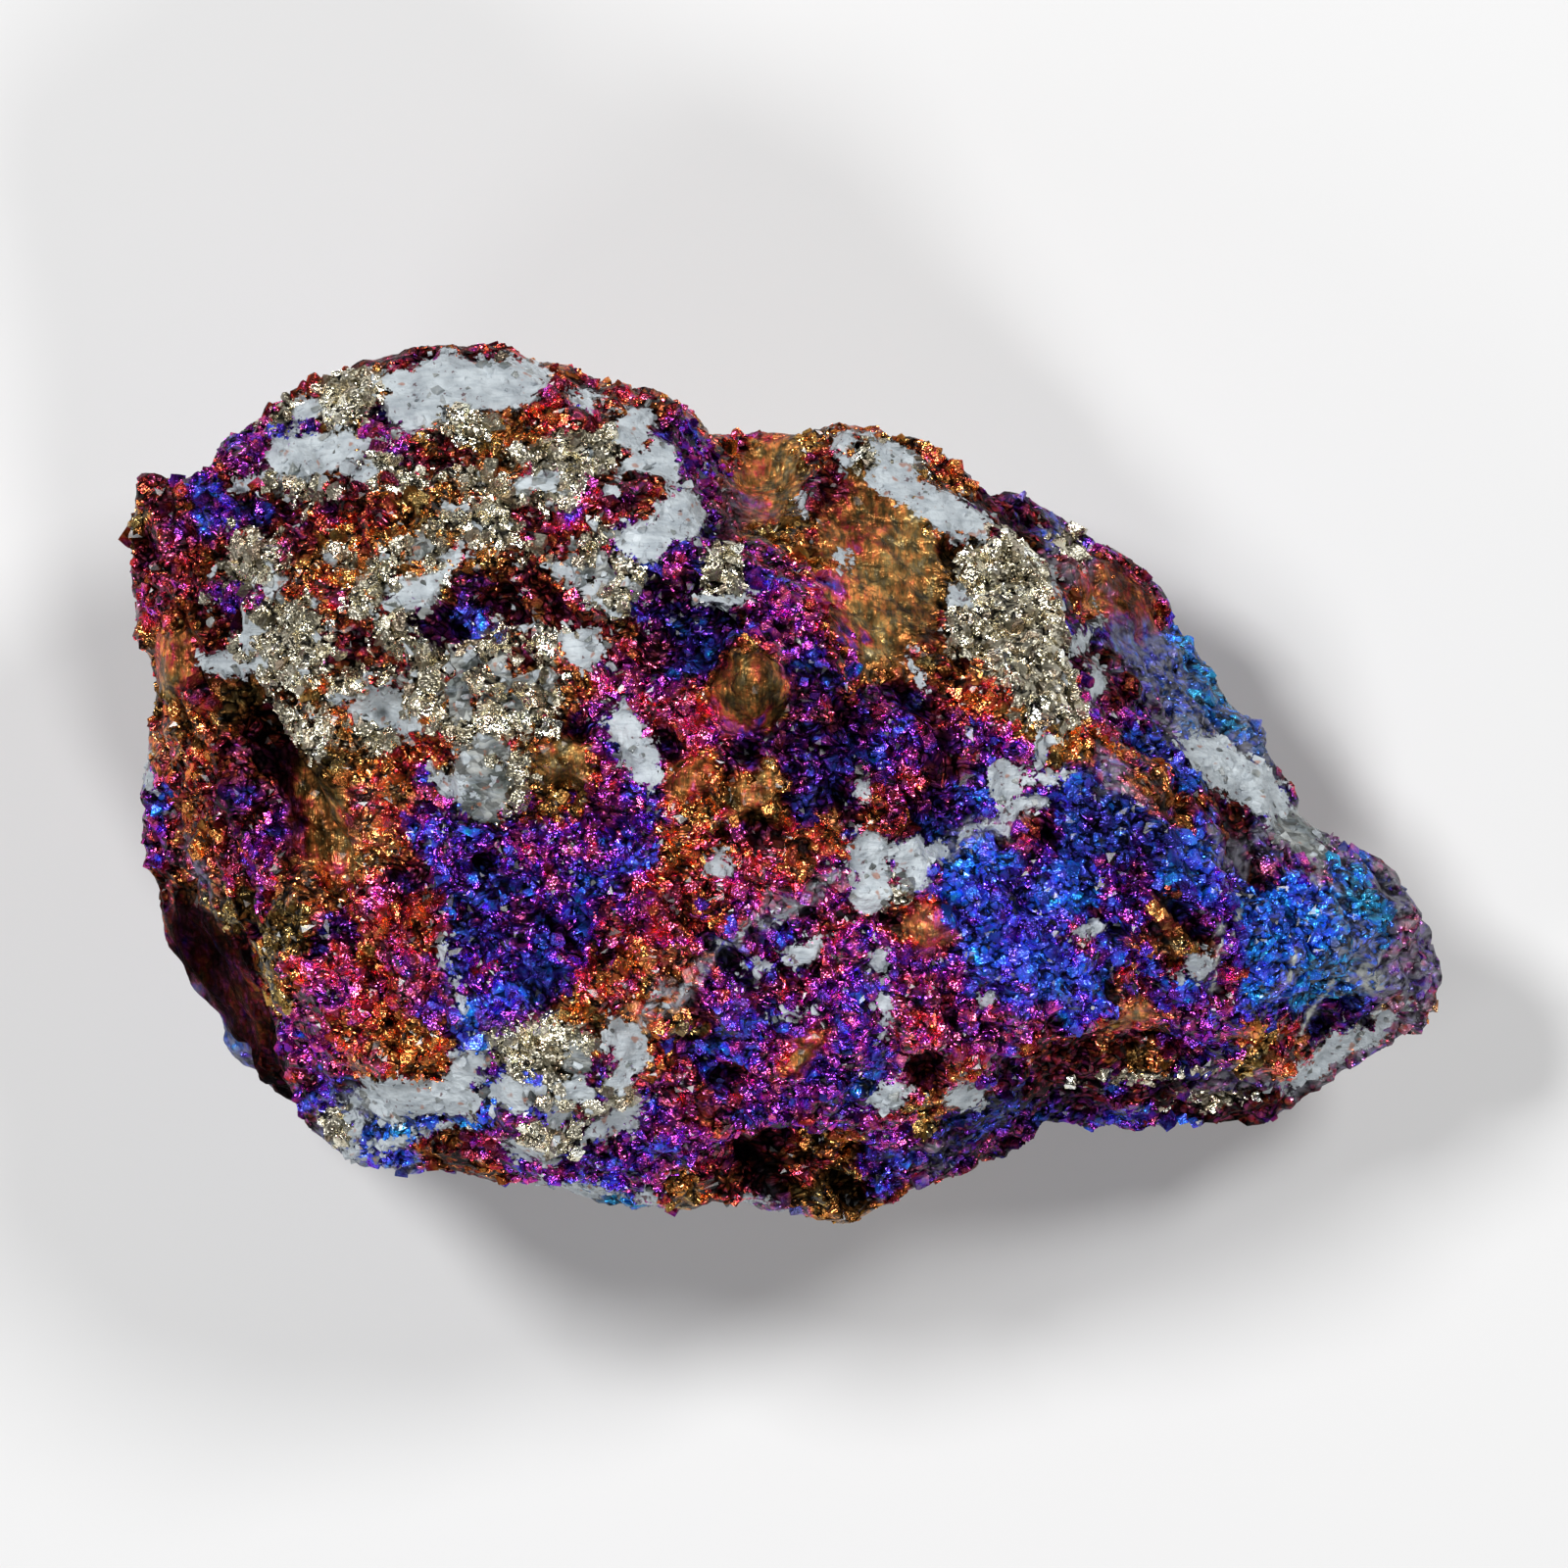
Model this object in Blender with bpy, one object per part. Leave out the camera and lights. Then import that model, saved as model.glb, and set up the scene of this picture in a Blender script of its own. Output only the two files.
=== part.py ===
"""Peacock ore specimen: one hand-sized lump of tarnished copper ore with quartz grown through it.

The stone lies on a small cleaved face. +Z is up, +X runs along its length towards the narrow end,
and the origin is at the middle of its bounding box, on the surface that it rests on.
Sizes are in millimetres and are turned into metres when the mesh is written.
"""

import math

import bmesh
import bpy
import numpy as np
from mathutils import Vector, kdtree, noise

NODE_NAME = "peacock_ore"
METRES_PER_MM = 0.001

# Driving sizes of the whole stone
LENGTH = 65.0
WIDTH = 43.0
SEED = 11

# The stone starts as a ball of this many subdivisions and ends with this many triangles
BALL_SUBDIVISIONS = 7
TRIANGLES = 9400

# How square the shoulders are between the rim and the faces above and below: 2 is round
SHOULDER_ABOVE = 3.4
SHOULDER_BELOW = 2.7

# The middle that the rim is drawn around, x and y
POLE = (-2.0, -1.5)

# The widest edge of the stone, seen from above: x, y and the height at which it runs.
# It starts at the narrow end and goes round by the far side.
RIM = (
    (32.4, -8.8, 10.5),
    (31.2, -6.3, 11.0),
    (29.4, -4.3, 11.5),
    (27.6, -3.0, 12.0),
    (25.7, -2.3, 12.5),
    (24.8, -0.3, 11.0),
    (21.7, 3.4, 9.5),
    (18.6, 7.2, 9.0),
    (15.0, 10.6, 9.5),
    (11.3, 13.2, 10.5),
    (7.6, 15.2, 13.0),
    (4.7, 17.0, 15.5),
    (3.0, 17.9, 17.0),
    (0.6, 17.5, 16.5),
    (-1.3, 17.4, 16.0),
    (-4.2, 17.7, 16.5),
    (-9.0, 19.4, 18.0),
    (-12.0, 20.5, 19.0),
    (-14.3, 21.5, 19.5),
    (-18.7, 21.4, 20.0),
    (-21.8, 20.3, 19.5),
    (-24.6, 18.4, 18.5),
    (-27.2, 16.6, 17.5),
    (-28.9, 15.0, 17.0),
    (-31.0, 15.3, 17.0),
    (-32.3, 13.5, 17.5),
    (-32.2, 10.5, 18.0),
    (-31.8, 6.0, 16.5),
    (-31.9, 1.6, 14.5),
    (-31.1, -1.5, 12.5),
    (-30.9, -4.7, 11.0),
    (-30.2, -7.6, 9.5),
    (-28.7, -10.4, 8.5),
    (-27.3, -13.0, 8.5),
    (-25.2, -14.9, 10.5),
    (-23.0, -17.0, 14.0),
    (-21.0, -19.0, 16.0),
    (-17.8, -19.6, 16.5),
    (-11.0, -20.2, 17.0),
    (-4.0, -20.9, 16.5),
    (-1.5, -21.3, 16.0),
    (2.4, -21.4, 15.0),
    (5.0, -20.8, 14.0),
    (8.5, -19.2, 12.5),
    (12.2, -17.5, 11.0),
    (15.2, -16.8, 8.5),
    (20.5, -17.1, 7.0),
    (24.3, -16.4, 7.0),
    (27.4, -14.2, 8.0),
    (31.2, -12.2, 9.5),
    (32.2, -10.6, 10.0),
)

# The cleaved faces above the rim. Each is a plane: a point on it, then how fast it climbs along x and y.
# The stone's top is the lowest of them everywhere.
UPPER_FACES = {
    "plateau": ((-17.0, 11.0, 28.3), (0.10, -0.06)),
    "front_face": ((-5.0, -6.0, 28.4), (-0.02, 0.26)),
    "front_skirt": ((-6.0, -16.0, 25.2), (0.0, 0.75)),
    "narrow_end": ((13.0, -5.0, 24.6), (-0.40, 0.05)),
    "narrow_end_nose": ((28.0, -8.0, 17.5), (-1.0, 0.0)),
    "back_right_side": ((15.0, 3.0, 23.0), (-1.15, -1.05)),
    "back_shoulder": ((5.5, 14.5, 25.6), (-0.25, -0.70)),
    "back_left_edge": ((-17.0, 18.0, 26.6), (0.05, -0.55)),
    "left_corner": ((-27.5, 14.5, 25.2), (0.42, -0.28)),
    "left_flank": ((-28.8, 2.4, 23.8), (0.62, 0.05)),
    "front_left_drop": ((-25.2, -9.0, 24.0), (2.30, 0.80)),
    "front_left_corner": ((-22.5, -16.0, 23.2), (0.55, 0.80)),
    "front_right_drop": ((17.0, -12.9, 20.0), (-0.82, 1.70)),
}

# The faces below the rim, written the same way. The stone's underside is the highest of them everywhere.
LOWER_FACES = {
    "resting_face": ((0.0, 0.0, -2.2), (0.0, 0.0)),
    "under_narrow_end": ((8.0, -6.0, 0.0), (0.36, 0.06)),
    "under_left": ((-17.5, 2.0, 0.0), (-0.62, 0.10)),
    "under_back": ((-6.0, 7.5, 0.0), (0.05, 0.74)),
    "under_back_right": ((6.0, 4.0, 0.0), (0.50, 0.42)),
    "under_front": ((-6.0, -9.0, 0.0), (0.0, -0.80)),
    "under_front_left": ((-14.5, -6.5, 0.0), (-0.50, -0.50)),
}
FACE_SOFTNESS = 0.55

# Hollows and lumps of the upper side: x, y, length, width, turn in degrees, height along the surface.
# A negative height is a hollow.
RELIEF = {
    "scoop": (1.4, 13.4, 15.5, 8.4, -56.0, -2.7),
    "scoop_mouth": (-1.6, 16.6, 6.5, 5.5, 80.0, -1.4),
    "scoop_foot": (6.6, 6.6, 9.5, 6.5, -68.0, -1.2),
    "quartz_ridge": (8.2, 12.6, 13.5, 3.6, -49.0, 1.1),
    "brassy_shoulder": (12.2, 6.4, 9.4, 5.4, -62.0, 1.0),
    "pebble": (-1.7, 5.0, 5.4, 3.7, -62.0, 2.3),
    "pit_behind_pebble": (-5.0, 7.4, 4.4, 3.0, -42.0, -2.3),
    "pit_below_pebble": (0.8, 2.2, 5.2, 2.2, -40.0, -1.3),
    "seed_lump": (-1.2, -0.6, 3.8, 2.2, -65.0, 1.2),
    "round_lump": (-10.6, 1.2, 4.6, 3.8, 20.0, 1.2),
    "groove_wall": (-20.6, -1.0, 7.6, 3.2, -58.0, 1.1),
    "second_lump": (-4.2, 0.2, 4.8, 2.6, -60.0, 1.1),
    "plateau_pocket": (-15.6, 8.4, 6.0, 3.2, 14.0, -1.4),
    "plateau_back_pocket": (-13.0, 13.2, 8.0, 2.6, -18.0, -0.9),
    "plateau_knob": (-23.4, 6.6, 6.6, 4.8, -20.0, 0.7),
    "plateau_front_knob": (-14.8, -0.6, 5.0, 3.6, -38.0, 0.8),
    "left_groove": (-24.9, 0.6, 12.0, 3.2, -66.0, -3.0),
    "left_groove_foot": (-22.6, -4.6, 4.0, 2.4, -60.0, -0.9),
    "left_rib": (-29.0, 2.0, 10.0, 3.4, -80.0, 0.7),
    "left_notch": (-28.6, -1.8, 3.4, 2.6, 0.0, -0.8),
    "corner_dimple": (-24.6, 13.6, 4.2, 2.6, 40.0, -0.7),
    "front_left_rib": (-23.6, -9.6, 9.5, 2.2, -84.0, 0.9),
    "flute_1": (-20.6, -9.2, 9.0, 1.7, -70.0, -0.8),
    "flute_2": (-17.4, -9.4, 9.0, 1.7, -72.0, -0.7),
    "flute_3": (-14.2, -8.8, 7.5, 1.8, -66.0, -0.8),
    "front_quartz_hump": (-11.2, -15.0, 7.6, 5.4, 10.0, 0.8),
    "front_cave": (-0.4, -19.4, 7.6, 3.6, 0.0, -2.3),
    "front_crease": (-3.2, -14.6, 8.5, 1.9, -38.0, -1.0),
    "blue_knoll": (11.0, -7.6, 7.5, 6.0, -55.0, 0.9),
    "blue_gully": (9.0, -3.8, 8.0, 2.0, -62.0, -0.9),
    "far_blue_knoll": (16.6, -2.8, 7.0, 4.6, -35.0, 0.8),
    "copper_knob": (18.8, -7.6, 4.4, 3.6, -30.0, 0.9),
    "knob_shadow": (17.4, -9.4, 5.6, 1.6, -36.0, -1.0),
    "copper_scale": (7.0, -6.7, 3.4, 2.6, 10.0, 0.6),
    "saddle": (23.2, -4.2, 5.5, 4.0, -40.0, -0.9),
    "tip_hollow": (27.0, -10.8, 5.6, 3.2, 30.0, -0.8),
    "tip_rim": (30.2, -6.6, 6.5, 2.2, -58.0, 0.7),
    "low_golden_knob": (22.6, -13.0, 5.0, 3.8, 25.0, 1.0),
    "crease_under_knoll": (15.0, -13.6, 10.5, 2.2, 6.0, -1.3),
    "side_hollow": (20.4, 4.6, 8.0, 4.0, -50.0, -0.8),
}

# Steps where layers broke off: a point on the edge, the way down in degrees, the step's height,
# and how far along the edge it runs
LEDGES = {
    "plateau_front": ((-14.0, 0.8), -112.0, 1.2, 17.0),
    "plateau_middle": ((-17.0, 6.6), -76.0, 0.9, 13.0),
    "plateau_back": ((-15.0, 15.8), 98.0, 0.6, 12.0),
    "quartz_edge": ((-3.9, 12.0), -8.0, 0.8, 9.0),
    "vein_step": ((1.5, -5.2), -58.0, 0.6, 18.0),
    "front_step": ((-2.0, -13.0), -95.0, 0.9, 16.0),
    "brassy_edge": ((15.4, 5.6), 22.0, 1.0, 9.0),
    "narrow_step": ((20.0, -4.6), 24.0, 0.7, 11.0),
    "nose_step": ((25.0, -8.0), -20.0, 0.6, 9.0),
}
LEDGE_SHARPNESS = 0.35

# Waves in the broken surface: size across and height of each
WAVES = ((11.0, 0.75), (5.2, 0.55), (2.6, 0.30))
WAVES_BELOW = 1.35

# Cleavage chips, the flat facets that the whole ore breaks into
CHIP_SPACING = 1.9
CHIP_TILT = 0.24
CHIP_STRENGTH = 0.78

# Places that broke smooth, with few chips: x, y, and how far they reach
SMOOTH_PLACES = (
    (0.6, 13.8, 6.0), (4.4, 7.6, 4.0), (-1.7, 5.0, 2.6), (-0.4, -19.4, 3.0), (-17.5, 20.0, 5.0),
)
SMOOTH_HEIGHT = 15.0

# The face that the stone rests on lies this far up in the shape before it is cut
REST_CUT = 0.0

COLOUR = (0.27, 0.10, 0.30, 1.0)
ROUGHNESS = 0.38
METALLIC = 0.85


def clear_scene():
    for old in list(bpy.data.objects):
        bpy.data.objects.remove(old, do_unlink=True)


def ball():
    """A mesh of a unit ball, fine enough to carve."""
    shape = bmesh.new()
    bmesh.ops.create_icosphere(shape, subdivisions=BALL_SUBDIVISIONS, radius=1.0)
    mesh = bpy.data.meshes.new(NODE_NAME)
    shape.to_mesh(mesh)
    shape.free()
    return mesh


def points_of(mesh):
    values = np.empty(len(mesh.vertices) * 3, np.float32)
    mesh.vertices.foreach_get("co", values)
    return values.reshape(-1, 3).astype(float)


def set_points(mesh, points):
    mesh.vertices.foreach_set("co", points.astype(np.float32).ravel())
    mesh.update()


def normals_of(mesh):
    values = np.empty(len(mesh.vertices) * 3, np.float32)
    mesh.vertex_normals.foreach_get("vector", values)
    return values.reshape(-1, 3).astype(float)


def smooth_step(share):
    share = np.clip(share, 0.0, 1.0)
    return share * share * (3.0 - 2.0 * share)


def soft_least(heights, softness):
    """The lowest of several heights at each place, with the creases rounded by softness."""
    heights = np.stack(heights)
    lowest = heights.min(axis=0)
    return lowest - softness * np.log(np.exp((lowest - heights) / softness).sum(axis=0))


def height_on(face, x, y):
    (at_x, at_y, at_z), (climb_x, climb_y) = face
    return at_z + climb_x * (x - at_x) + climb_y * (y - at_y)


def rim_around(angles):
    """Distance from the pole to the rim, and the rim's height, at each angle."""
    rim = np.array(RIM)
    across = rim[:, :2] - POLE
    at = np.arctan2(across[:, 1], across[:, 0])
    order = np.argsort(at)
    reach = np.hypot(across[:, 0], across[:, 1])[order]
    height = rim[order, 2]
    at = at[order]
    full_turn = 2.0 * math.pi
    return (
        np.interp(angles, at, reach, period=full_turn),
        np.interp(angles, at, height, period=full_turn),
    )


def cleaved_form(directions):
    """The ball pushed out to the rim, and up and down to the cleaved faces."""
    angles = np.arctan2(directions[:, 1], directions[:, 0])
    out = np.clip(np.hypot(directions[:, 0], directions[:, 1]), 0.0, 1.0)
    rise = np.abs(directions[:, 2])
    above = directions[:, 2] >= 0.0
    shoulder = np.where(above, SHOULDER_ABOVE, SHOULDER_BELOW)
    reach, rim_height = rim_around(angles)
    spread = reach * out ** (2.0 / shoulder)
    x = POLE[0] + spread * np.cos(angles)
    y = POLE[1] + spread * np.sin(angles)
    top = soft_least([height_on(face, x, y) for face in UPPER_FACES.values()], FACE_SOFTNESS)
    under = -soft_least([-height_on(face, x, y) for face in LOWER_FACES.values()], FACE_SOFTNESS)
    share = rise ** (2.0 / shoulder)
    to_top = np.maximum(top - rim_height, 0.5)
    to_under = np.minimum(under - rim_height, -0.5)
    return np.column_stack([x, y, rim_height + share * np.where(above, to_top, to_under)])


def upper_share(points):
    """1 on the upper side of the stone and 0 on its underside, at each point."""
    angles = np.arctan2(points[:, 1] - POLE[1], points[:, 0] - POLE[0])
    rim_height = rim_around(angles)[1]
    return smooth_step((points[:, 2] - rim_height + 3.0) / 5.0)


def bump_over(points, x, y, length, width, turn):
    """A bump that falls from 1 at its middle to 0 past its ends, over an oval seen from above."""
    cos, sin = math.cos(math.radians(turn)), math.sin(math.radians(turn))
    along = (points[:, 0] - x) * cos + (points[:, 1] - y) * sin
    across = (points[:, 1] - y) * cos - (points[:, 0] - x) * sin
    squared = (along / (0.5 * length)) ** 2 + (across / (0.5 * width)) ** 2
    return np.exp(-0.5 * (squared * 2.2) ** 1.25)


def carve_relief(points, normals):
    """Lumps and hollows, along the surface's own direction."""
    upper = upper_share(points)
    lift = np.zeros(len(points))
    for x, y, length, width, turn, height in RELIEF.values():
        lift += height * bump_over(points, x, y, length, width, turn)
    return points + normals * (lift * upper)[:, None]


def break_ledges(points):
    """Steps down past each ledge's edge, fading out behind it and at its ends."""
    upper = upper_share(points)
    drop = np.zeros(len(points))
    for (x, y), way_down, height, run in LEDGES.values():
        cos, sin = math.cos(math.radians(way_down)), math.sin(math.radians(way_down))
        past = (points[:, 0] - x) * cos + (points[:, 1] - y) * sin
        along = (points[:, 1] - y) * cos - (points[:, 0] - x) * sin
        wander = 0.9 * np.sin(along * 0.8) + 0.5 * np.sin(along * 2.1 + 1.0)
        stepped = smooth_step((past + wander) / LEDGE_SHARPNESS * 0.5 + 0.5)
        fading = np.exp(-np.maximum(past, 0.0) / (0.45 * run))
        ends = smooth_step(2.0 - 2.0 * np.abs(along) / (0.6 * run))
        drop += height * stepped * fading * ends
    return points - np.array([0.0, 0.0, 1.0]) * (drop * upper)[:, None]


def roughness_of(points):
    """1 where the ore broke rough and near 0 where it broke smooth."""
    rough = np.ones(len(points))
    for x, y, reach in SMOOTH_PLACES:
        near = ((points[:, 0] - x) ** 2 + (points[:, 1] - y) ** 2) / reach**2
        high = smooth_step((points[:, 2] - SMOOTH_HEIGHT) / 3.0 + 1.0)
        rough *= 1.0 - 0.8 * high * np.exp(-(near**2))
    return rough


def wave_surface(points, normals):
    """The broad waves of a broken surface, rougher on the underside."""
    amount = roughness_of(points) * (1.0 + (WAVES_BELOW - 1.0) * (1.0 - upper_share(points)))
    lift = np.zeros(len(points))
    for number, (size, height) in enumerate(WAVES):
        shift = Vector((SEED * 3.1 + 17.0 * number, 5.7 * number, SEED))
        lift += height * np.array([noise.noise(Vector(p) / size + shift) for p in points])
    return points + normals * (lift * amount)[:, None]


def chip_centres(points):
    """Places spread over the surface, none nearer to another than the chips' spacing."""
    order = np.random.default_rng(SEED).permutation(len(points))
    taken = {}
    centres = []
    for index in order:
        cell = tuple(np.floor(points[index] / CHIP_SPACING).astype(int))
        around = (
            other
            for dx in (-1, 0, 1)
            for dy in (-1, 0, 1)
            for dz in (-1, 0, 1)
            for other in taken.get((cell[0] + dx, cell[1] + dy, cell[2] + dz), ())
        )
        if all(np.sum((points[other] - points[index]) ** 2) > CHIP_SPACING**2 for other in around):
            taken.setdefault(cell, []).append(index)
            centres.append(index)
    return np.array(centres)


def chip_surface(points, normals):
    """Presses each patch of the surface onto a flat facet, tilted a little its own way."""
    centres = chip_centres(points)
    tree = kdtree.KDTree(len(centres))
    for number, index in enumerate(centres):
        tree.insert(points[index], number)
    tree.balance()
    nearest = np.array([tree.find(p)[1] for p in points])
    tilt = np.random.default_rng(SEED + 1).normal(0.0, CHIP_TILT, (len(centres), 3))
    facing = normals[centres] + tilt
    facing /= np.linalg.norm(facing, axis=1)[:, None]
    offset = np.einsum("ij,ij->i", points - points[centres][nearest], facing[nearest])
    amount = CHIP_STRENGTH * roughness_of(points)
    return points - facing[nearest] * (offset * amount)[:, None]


def simplified(mesh, triangles):
    """The mesh brought down to this many triangles, with most of them where the shape turns."""
    helper = bpy.data.objects.new("carved_stone", mesh)
    bpy.context.scene.collection.objects.link(helper)
    fewer = helper.modifiers.new("fewer_triangles", "DECIMATE")
    fewer.ratio = triangles / len(mesh.polygons)
    fewer.use_collapse_triangulate = True
    graph = bpy.context.evaluated_depsgraph_get()
    result = bpy.data.meshes.new_from_object(helper.evaluated_get(graph))
    bpy.data.objects.remove(helper)
    return result


def cut_resting_face(mesh):
    """Cuts the stone off flat below, where it rests, and brings that face to height 0."""
    shape = bmesh.new()
    shape.from_mesh(mesh)
    every = shape.verts[:] + shape.edges[:] + shape.faces[:]
    bmesh.ops.bisect_plane(
        shape, geom=every, plane_co=(0.0, 0.0, REST_CUT), plane_no=(0.0, 0.0, 1.0), clear_inner=True
    )
    open_edges = [edge for edge in shape.edges if edge.is_boundary]
    bmesh.ops.triangle_fill(shape, use_beauty=True, edges=open_edges, normal=(0.0, 0.0, -1.0))
    bmesh.ops.recalc_face_normals(shape, faces=shape.faces[:])
    shape.to_mesh(mesh)
    shape.free()


def fit_to_size(points):
    """Centres the stone over the origin and brings its length and width to the driving sizes."""
    low, high = points.min(axis=0), points.max(axis=0)
    middle = 0.5 * (low + high)
    fitted = points - np.array([middle[0], middle[1], low[2]])
    across = high - low
    return fitted * np.array([LENGTH / across[0], WIDTH / across[1], 1.0])


def tarnished_ore():
    material = bpy.data.materials.new("tarnished_ore")
    material.use_nodes = True
    surface = material.node_tree.nodes["Principled BSDF"]
    surface.inputs["Base Color"].default_value = COLOUR
    surface.inputs["Roughness"].default_value = ROUGHNESS
    surface.inputs["Metallic"].default_value = METALLIC
    material.diffuse_color = COLOUR
    return material


def build_stone():
    carved = ball()
    set_points(carved, cleaved_form(points_of(carved)))
    set_points(carved, carve_relief(points_of(carved), normals_of(carved)))
    set_points(carved, break_ledges(points_of(carved)))
    set_points(carved, wave_surface(points_of(carved), normals_of(carved)))
    set_points(carved, chip_surface(points_of(carved), normals_of(carved)))
    stone_mesh = simplified(carved, TRIANGLES)
    cut_resting_face(stone_mesh)
    set_points(stone_mesh, fit_to_size(points_of(stone_mesh)) * METRES_PER_MM)
    stone_mesh.name = NODE_NAME
    stone = bpy.data.objects.new(NODE_NAME, stone_mesh)
    bpy.context.scene.collection.objects.link(stone)
    stone_mesh.materials.append(tarnished_ore())
    return stone


clear_scene()
build_stone()
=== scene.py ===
"""The looks of the peacock ore specimen.

One broken stone, in which tarnished copper ore, quartz and fresh brassy grains have grown together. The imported
solid gives its form. Here it gets its fine broken surface, the grains that stand on it and each mineral's colours.
Places are in millimetres as seen from above: x runs to the narrow end and y to the back edge.
"""

import math

import bmesh
import bpy
import numpy as np
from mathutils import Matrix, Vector, bvhtree, kdtree, noise


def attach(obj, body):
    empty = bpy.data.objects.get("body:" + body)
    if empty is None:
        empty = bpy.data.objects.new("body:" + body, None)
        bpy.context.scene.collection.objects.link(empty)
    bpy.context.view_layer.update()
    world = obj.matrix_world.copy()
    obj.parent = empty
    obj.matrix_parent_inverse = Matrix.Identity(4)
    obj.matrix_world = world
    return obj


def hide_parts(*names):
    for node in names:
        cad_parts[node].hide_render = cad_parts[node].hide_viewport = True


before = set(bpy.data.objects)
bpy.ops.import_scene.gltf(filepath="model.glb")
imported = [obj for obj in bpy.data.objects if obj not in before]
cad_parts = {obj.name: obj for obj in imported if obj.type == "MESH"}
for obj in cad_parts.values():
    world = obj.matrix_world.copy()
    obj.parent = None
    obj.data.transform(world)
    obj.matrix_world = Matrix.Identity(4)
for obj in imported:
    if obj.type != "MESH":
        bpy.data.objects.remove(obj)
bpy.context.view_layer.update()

NODE = "peacock_ore"
BODY = "root"
MM = 0.001
SEED = 23

# Each tarnish: thickness of the film, which sets the hue, then how much it shines, which lightens or darkens its
# colour, and how dusty it is. The near-black maroon and the dark olive stand partly for painted shade where shade falls
TARNISH = {
    "gold": (0.08, 1.2, 0.0),
    "olive": (0.15, 1.0, 0.0),
    "dark_olive_and_painted_shade": (0.16, 0.2, 0.0),
    "brown": (0.21, 0.5, 0.0),
    "tan": (0.25, 0.85, 0.0),
    "orange": (0.3, 1.3, 0.0),
    "copper": (0.33, 1.2, 0.05),
    "rust": (0.36, 0.5, 0.0),
    "red": (0.41, 0.85, 0.0),
    "crimson": (0.45, 0.5, 0.0),
    "maroon": (0.48, 0.22, 0.0),
    "maroon_and_painted_shade": (0.46, 0.04, 0.0),
    "pink": (0.52, 1.5, 0.0),
    "magenta": (0.57, 1.3, 0.0),
    "purple": (0.66, 1.1, 0.0),
    "lavender": (0.7, 1.6, 0.08),
    "dusk": (0.7, 0.4, 0.0),
    "indigo": (0.76, 1.1, 0.0),
    "navy": (0.79, 0.4, 0.0),
    "royal": (0.84, 0.6, 0.0),
    "blue": (0.81, 1.7, 0.0),
    "azure": (0.9, 1.4, 0.0),
    "teal": (0.97, 1.0, 0.08),
    "slate": (0.88, 0.6, 0.4),
    "mauve": (0.66, 0.5, 0.45),
    "chalk": (0.9, 0.9, 0.8),
}

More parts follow.
